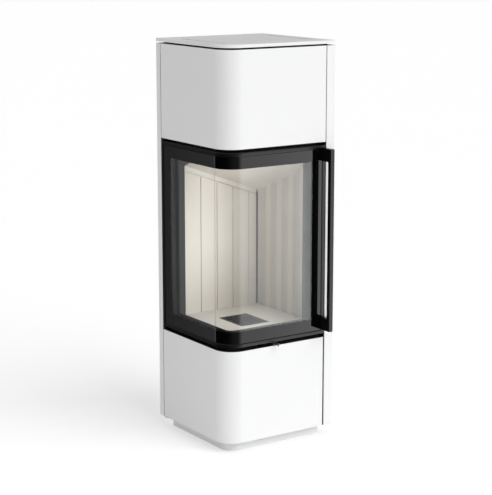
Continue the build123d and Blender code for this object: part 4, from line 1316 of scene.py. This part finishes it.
@dataclass
class GlassDoor:
    """Bent glass, its handle and the rope seal behind the frame.

    Attributes:
        corner_radius: Outer radius of the door's corner.
        glass_setback: How far the pane lies behind the door's face.
        glass_thickness: Thickness of the pane.
        glass_edge: Radius of the pane's ground edges.
        corner_steps: Number of steps round the pane's corner.
        grip: Depth of the handle's grip.
        arm: Height of the handle's arms.
        handle_corner: Radius between grip and arm.
        handle_steps: Number of steps round it.
        handle_edge: Radius of the handle's edges.
        edge_steps: Number of steps round an edge.
        rope_radius: Radius of the rope.
        rope_steps: Number of steps round a quarter of the rope.
        rope_corner: Radius of the rope's bend round the corner.
        rope_corner_steps: Number of steps round the bend.
        rope_angle: Edges of the rope flatter than this are smooth, in degrees.
    """

    corner_radius: float = 0.068
    glass_setback: float = 0.001
    glass_thickness: float = 0.004
    glass_edge: float = 0.0005
    corner_steps: int = 28
    grip: float = 0.016
    arm: float = 0.045
    handle_corner: float = 0.004
    handle_steps: int = 5
    handle_edge: float = 0.0008
    edge_steps: int = 3
    rope_radius: float = 0.007
    rope_steps: int = 5
    rope_corner: float = 0.037
    rope_corner_steps: int = 12
    rope_angle: float = 80.0

    def build(self, palette: Palette) -> list[bpy.types.Object]:
        """Model the door's pieces with the stove's finishes."""
        return [self.pane(palette), self.handle(palette), self.seal(palette)]

    def pane(self, palette: Palette) -> bpy.types.Object:
        """One pane bent round the corner, with ground edges.

        Args:
            palette: The stove's finishes.

        Returns:
            The piece.
        """
        low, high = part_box("door_glass")
        piece = Workpiece.block("bent_door_pane", low, high)
        piece.round_corner(low, self.corner_radius - self.glass_setback, self.corner_steps)
        piece.open_wrap()
        piece.thicken(self.glass_thickness)
        piece.soften(self.glass_edge)
        return piece.finish(palette.material(GLASS), Body.GLASS_DOOR, "clear_glass", "door_glass")

    def handle(self, palette: Palette) -> bpy.types.Object:
        """Square grip on two flat arms.

        Args:
            palette: The stove's finishes.

        Returns:
            The piece.
        """
        low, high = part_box("door_handle")
        back = low.y + self.grip
        piece = Workpiece.block("bow_handle", low, (high.x, back, high.z))
        piece.enter("EDIT")
        piece.cut((0, 0, low.z + self.arm), (0, 0, 1))
        piece.cut((0, 0, high.z - self.arm), (0, 0, 1))
        piece.pick(Part.FACE, lambda at, normal: normal.y > SQUARE
                   and not low.z + self.arm < at.z < high.z - self.arm)
        piece.push((0, high.y - back, 0))
        piece.pick(Part.EDGE, lambda at, run: abs(run.x) > SQUARE and abs(at.y - back) < NEAR
                   and low.z + NEAR < at.z < high.z - NEAR)
        piece.round_off(self.handle_corner, self.handle_steps)
        piece.soften(self.handle_edge, self.edge_steps)
        return piece.finish(palette.material(BLACK), Body.GLASS_DOOR, "black_coat", "door_handle")

    def seal(self, palette: Palette) -> bpy.types.Object:
        """Round rope that follows the back of the door frame.

        Args:
            palette: The stove's finishes.

        Returns:
            The piece.
        """
        low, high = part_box("door_seal")
        inset = Vector((self.rope_radius, self.rope_radius, self.rope_radius))
        low, high = low + inset, high - inset
        piece = Workpiece.block("rope_seal", low, high)
        piece.round_corner(low, self.rope_corner, self.rope_corner_steps)
        piece.open_wrap()
        bpy.ops.mesh.select_all(action="SELECT")
        bpy.ops.mesh.delete(type="ONLY_FACE")
        piece.pick(Part.EDGE, lambda at, run: abs(run.z) > SQUARE and at.x < high.x - NEAR and at.y < high.y - NEAR)
        bpy.ops.mesh.delete(type="EDGE")
        piece.enter("OBJECT")
        bpy.ops.object.convert(target="CURVE")
        rope = bpy.context.active_object
        rope.data.bevel_depth = self.rope_radius
        rope.data.bevel_resolution = self.rope_steps
        bpy.ops.object.convert(target="MESH")
        piece.object = bpy.context.active_object
        piece.close_up()
        return piece.finish(palette.material(ROPE), Body.GLASS_DOOR, "rope", "door_seal",
                            angle=self.rope_angle)


@dataclass
class AirControl:
    """Turned knob on the lever of the air slide.

    Attributes:
        neck: Length of the first, straight part of the neck.
        root_radius: Radius there.
        steps: Distance from the lever and radius at each ring further out.
        smooth_angle: Edges flatter than this are smooth, in degrees.
    """

    neck: float = 0.001
    root_radius: float = 0.0038
    steps: tuple[tuple[float, float], ...] = (
        (0.0070, 0.0038), (0.0078, 0.0044), (0.0100, 0.0048), (0.0145, 0.0053), (0.0190, 0.0057),
        (0.0225, 0.0057), (0.0245, 0.0054), (0.0258, 0.0046), (0.0266, 0.0034), (0.0270, 0.0016))
    smooth_angle: float = 40.0

    def build(self, palette: Palette) -> bpy.types.Object:
        """Turn the knob: neck, bulb and a domed tip.

        Args:
            palette: The stove's finishes.

        Returns:
            The piece.
        """
        low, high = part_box("lever_knob")
        middle = (low + high) / 2
        turn = (math.radians(90), 0, 0)
        piece = Workpiece.drum("turned_air_knob", (middle.x, high.y - self.neck / 2, middle.z), self.root_radius,
                               self.neck, turn)
        piece.enter("EDIT")
        reach, radius = self.neck, self.root_radius
        for next_reach, next_radius in self.steps:
            end = high.y - reach
            piece.pick(Part.FACE, lambda at, normal: normal.y < -SQUARE and abs(at.y - end) < NEAR / 2)
            piece.push((0, reach - next_reach, 0))
            piece.widen(next_radius / radius, (1, 0, 1))
            reach, radius = next_reach, next_radius
        piece.close_up()
        return piece.finish(palette.material(CHROME), Body.AIR_CONTROL, "chrome", "lever_knob",
                            angle=self.smooth_angle)


@dataclass
class Carcass:
    """All pieces that keep their CAD form and get a finish."""

    def dress(self, palette: Palette) -> None:
        """Give every CAD node the finish of its slot.

        Args:
            palette: The stove's finishes.
        """
        for entry in frame["record"]["subparts"]:
            piece = frame["nodes"][entry["node"]]
            finish = NODE_FINISH.get(entry["node"], SLOT_FINISH[entry["material_slot"]])
            material = palette.material(finish)
            for slot in piece.material_slots:
                slot.material = material
            log.info("%s: %s", entry["node"], material.name)


@dataclass
class Studio:
    """Floor, light and camera.

    Attributes:
        floor_half: Half the floor's side.
        wall_share: The wall's radius as a share of that.
        wall_height: The wall's height.
        wall_sides: Number of its flat sides.
        camera_place: Where the camera stands.
        heading: Which way it looks, in degrees to the right of straight in.
        pitch: How far it looks up, in degrees.
        lens: Its focal length, in millimetres.
        sensor: Width of its picture, in millimetres.
        reach: How far it sees, in metres.
        sky_low: Light of the sky near the horizon.
        sky_high: Light of the sky overhead.
        horizon: Where the sky takes over from the room below it.
        softbox_side: Direction of the reflected softbox.
        softbox_edges: Where it fades in, as cosines from that direction.
        softbox: Its strength.
        lamp_edges: Where its bright middle fades in.
        lamp: Added strength of the bright middle.
        tail_edges: Where the dim light round it fades in.
        tail: Strength of that light.
        rear_side: Direction of the reflected rear wall.
        rear_edge: Where the rear wall starts.
        rear_fade: Where it changes from its first strength to its second.
        rear_glow: The two strengths.
        key_power: Strength of the sun from the front right.
        key_turn: Its rotation from straight above, in degrees.
        key_width: Its width in degrees.
        fill_power: Strength of the sun from the left.
        fill_turn: Its rotation from straight above, in degrees.
        fill_width: Its width in degrees.
        firebox_power: Power of the light inside the door.
        firebox_place: Its middle.
        firebox_turn: How far it turns to the left, in degrees.
        firebox_size: Its width and height.
        firebox_spread: The angle that it fans out to, in degrees.
        firebox_colour: Its colour.
        bounce_power: Power of the light near the foot.
        bounce_place: Its place.
        bounce_radius: Its radius.
    """

    floor_half: float = 60.0
    wall_share: float = 0.97
    wall_height: float = 40.0
    wall_sides: int = 128
    camera_place: Place = (-2.9724, -4.3939, 1.7590)
    heading: float = 34.115
    pitch: float = -11.634
    lens: float = 111.29
    sensor: float = 36.0
    reach: float = 200.0
    sky_low: float = 0.16
    sky_high: float = 0.52
    horizon: tuple[float, float] = (-0.06, 0.04)
    softbox_side: Place = (0.985, -0.174, 0.0)
    softbox_edges: tuple[float, float] = (0.22, 0.78)
    softbox: float = 1.35
    lamp_edges: tuple[float, float] = (0.69, 0.76)
    lamp: float = 0.9
    tail_edges: tuple[float, float] = (-0.9, 0.1)
    tail: float = 0.16
    rear_side: Place = (0.174, 0.985, 0.0)
    rear_edge: tuple[float, float] = (0.705, 0.715)
    rear_fade: tuple[float, float] = (0.72, 0.775)
    rear_glow: tuple[float, float] = (0.30, 0.09)
    key_power: float = 1.82
    key_turn: Place = (45.0, 0.0, 20.0)
    key_width: float = 50.0
    fill_power: float = 0.06
    fill_turn: Place = (0.0, -35.0, 0.0)
    fill_width: float = 60.0
    firebox_power: float = 0.42
    firebox_place: Place = (0.0, -0.17, 0.72)
    firebox_turn: float = 18.0
    firebox_size: tuple[float, float] = (0.16, 0.50)
    firebox_spread: float = 100.0
    firebox_colour: Colour = (1.0, 0.985, 0.96)
    bounce_power: float = 1.9
    bounce_place: Place = (-1.05, -0.62, 0.11)
    bounce_radius: float = 0.1

    def build(self, palette: Palette) -> None:
        """Set up the studio.

        Args:
            palette: The scene's finishes.
        """
        floor, wall = self.floor(palette), self.wall(palette)
        self.world()
        self.lights()
        self.camera()
        bpy.context.scene.view_settings.view_transform = "Standard"

    def floor(self, palette: Palette) -> bpy.types.Object:
        """Large pale floor.

        Args:
            palette: The scene's finishes.

        Returns:
            The floor.
        """
        deselect()
        bpy.ops.mesh.primitive_plane_add(size=2 * self.floor_half, location=(0, 0, 0))
        floor = bpy.context.active_object
        floor.name = "studio_floor"
        floor.data.materials.append(palette.material(FLOOR))
        floor.visible_glossy = False
        return floor

    def wall(self, palette: Palette) -> bpy.types.Object:
        """Pale wall far round the floor, which only the camera sees.

        Args:
            palette: The scene's finishes.

        Returns:
            The wall.
        """
        deselect()
        bpy.ops.mesh.primitive_cylinder_add(vertices=self.wall_sides, radius=self.floor_half * self.wall_share,
                                            depth=self.wall_height, end_fill_type="NOTHING",
                                            location=(0, 0, self.wall_height / 2))
        wall = bpy.context.active_object
        wall.name = "studio_wall"
        bpy.ops.object.transform_apply(location=True)
        wall.data.materials.append(palette.material(WALL))
        wall.visible_diffuse = wall.visible_glossy = wall.visible_transmission = wall.visible_shadow = False
        return wall

    def world(self) -> None:
        """Soft sky over a dark room that holds one large softbox and a faint rear wall."""
        world = bpy.data.worlds.new("soft_room")
        bpy.context.scene.world = world
        world.use_nodes = True
        room = Room(world.node_tree)
        level = room.level()
        sky = room.ramp(level, (0.0, 1.0), (self.sky_low, self.sky_high))
        aside = room.towards(self.softbox_side)
        softbox = room.ramp(aside, self.softbox_edges, (0.0, self.softbox))
        lamp = room.ramp(aside, self.lamp_edges, (0.0, self.lamp))
        tail = room.ramp(aside, self.tail_edges, (0.0, self.tail))
        behind = room.towards(self.rear_side)
        rear = room.ramp(behind, self.rear_edge, (0.0, 1.0)) * room.ramp(behind, self.rear_fade, self.rear_glow)
        above = room.ramp(level, self.horizon, (0.0, 1.0))
        room.light(above * sky + (1 - above) * (softbox + lamp + tail + rear))

    def lights(self) -> None:
        """Broad key from the front right, fills from the left and a small light inside the door."""
        self.sun("key_light", self.key_power, self.key_width, self.key_turn)
        self.sun("fill_light", self.fill_power, self.fill_width, self.fill_turn)
        bpy.ops.object.light_add(type="AREA", location=self.firebox_place,
                                 rotation=(math.radians(90), 0, math.radians(self.firebox_turn)))
        glow = self.unseen("firebox_light", self.firebox_power)
        glow.shape = "RECTANGLE"
        glow.size, glow.size_y = self.firebox_size
        glow.spread = math.radians(self.firebox_spread)
        glow.color = self.firebox_colour
        bpy.ops.object.light_add(type="POINT", location=self.bounce_place)
        bounce = self.unseen("low_bounce", self.bounce_power)
        bounce.shadow_soft_size = self.bounce_radius

    def sun(self, name: str, energy: float, width: float, turn: Place) -> None:
        """Add a distant light with its width and its turn from straight above in degrees."""
        bpy.ops.object.light_add(type="SUN", rotation=[math.radians(angle) for angle in turn])
        self.unseen(name, energy).angle = math.radians(width)

    def unseen(self, name: str, energy: float) -> bpy.types.Light:
        """Name the light that was just added and hide it from the camera and from reflections.

        Args:
            name: Its name.
            energy: Its strength.

        Returns:
            The light's data.
        """
        lamp = bpy.context.active_object
        lamp.name = name
        lamp.data.energy = energy
        lamp.visible_camera = False
        lamp.visible_glossy = False
        return lamp.data

    def camera(self) -> None:
        """Camera at the photograph's place and angle."""
        turn, tilt = math.radians(self.heading), math.radians(self.pitch)
        look = Vector((math.sin(turn) * math.cos(tilt), math.cos(turn) * math.cos(tilt), math.sin(tilt)))
        bpy.ops.object.camera_add(location=self.camera_place, rotation=look.to_track_quat("-Z", "Y").to_euler())
        camera = bpy.context.active_object
        camera.name = "camera"
        camera.data.lens = self.lens
        camera.data.sensor_width = self.sensor
        camera.data.clip_end = self.reach
        bpy.context.scene.camera = camera


def main() -> None:
    """Build and dress the stove, then light it."""
    logging.basicConfig(level=logging.INFO, format="%(name)s %(message)s")
    palette = Palette()
    Carcass().dress(palette)
    FoldedFront("upper_cladding", "upper_front_skin", Body.STOVE, fold=0.020, end_gap=0.0053).build(palette)
    FoldedFront("lower_door_panel", "lower_door_skin", Body.LOWER_DOOR, fold=0.0197).build(palette)
    GlassDoor().build(palette)
    AirControl().build(palette)
    Studio().build(palette)


if __name__ == "__main__":
    main()
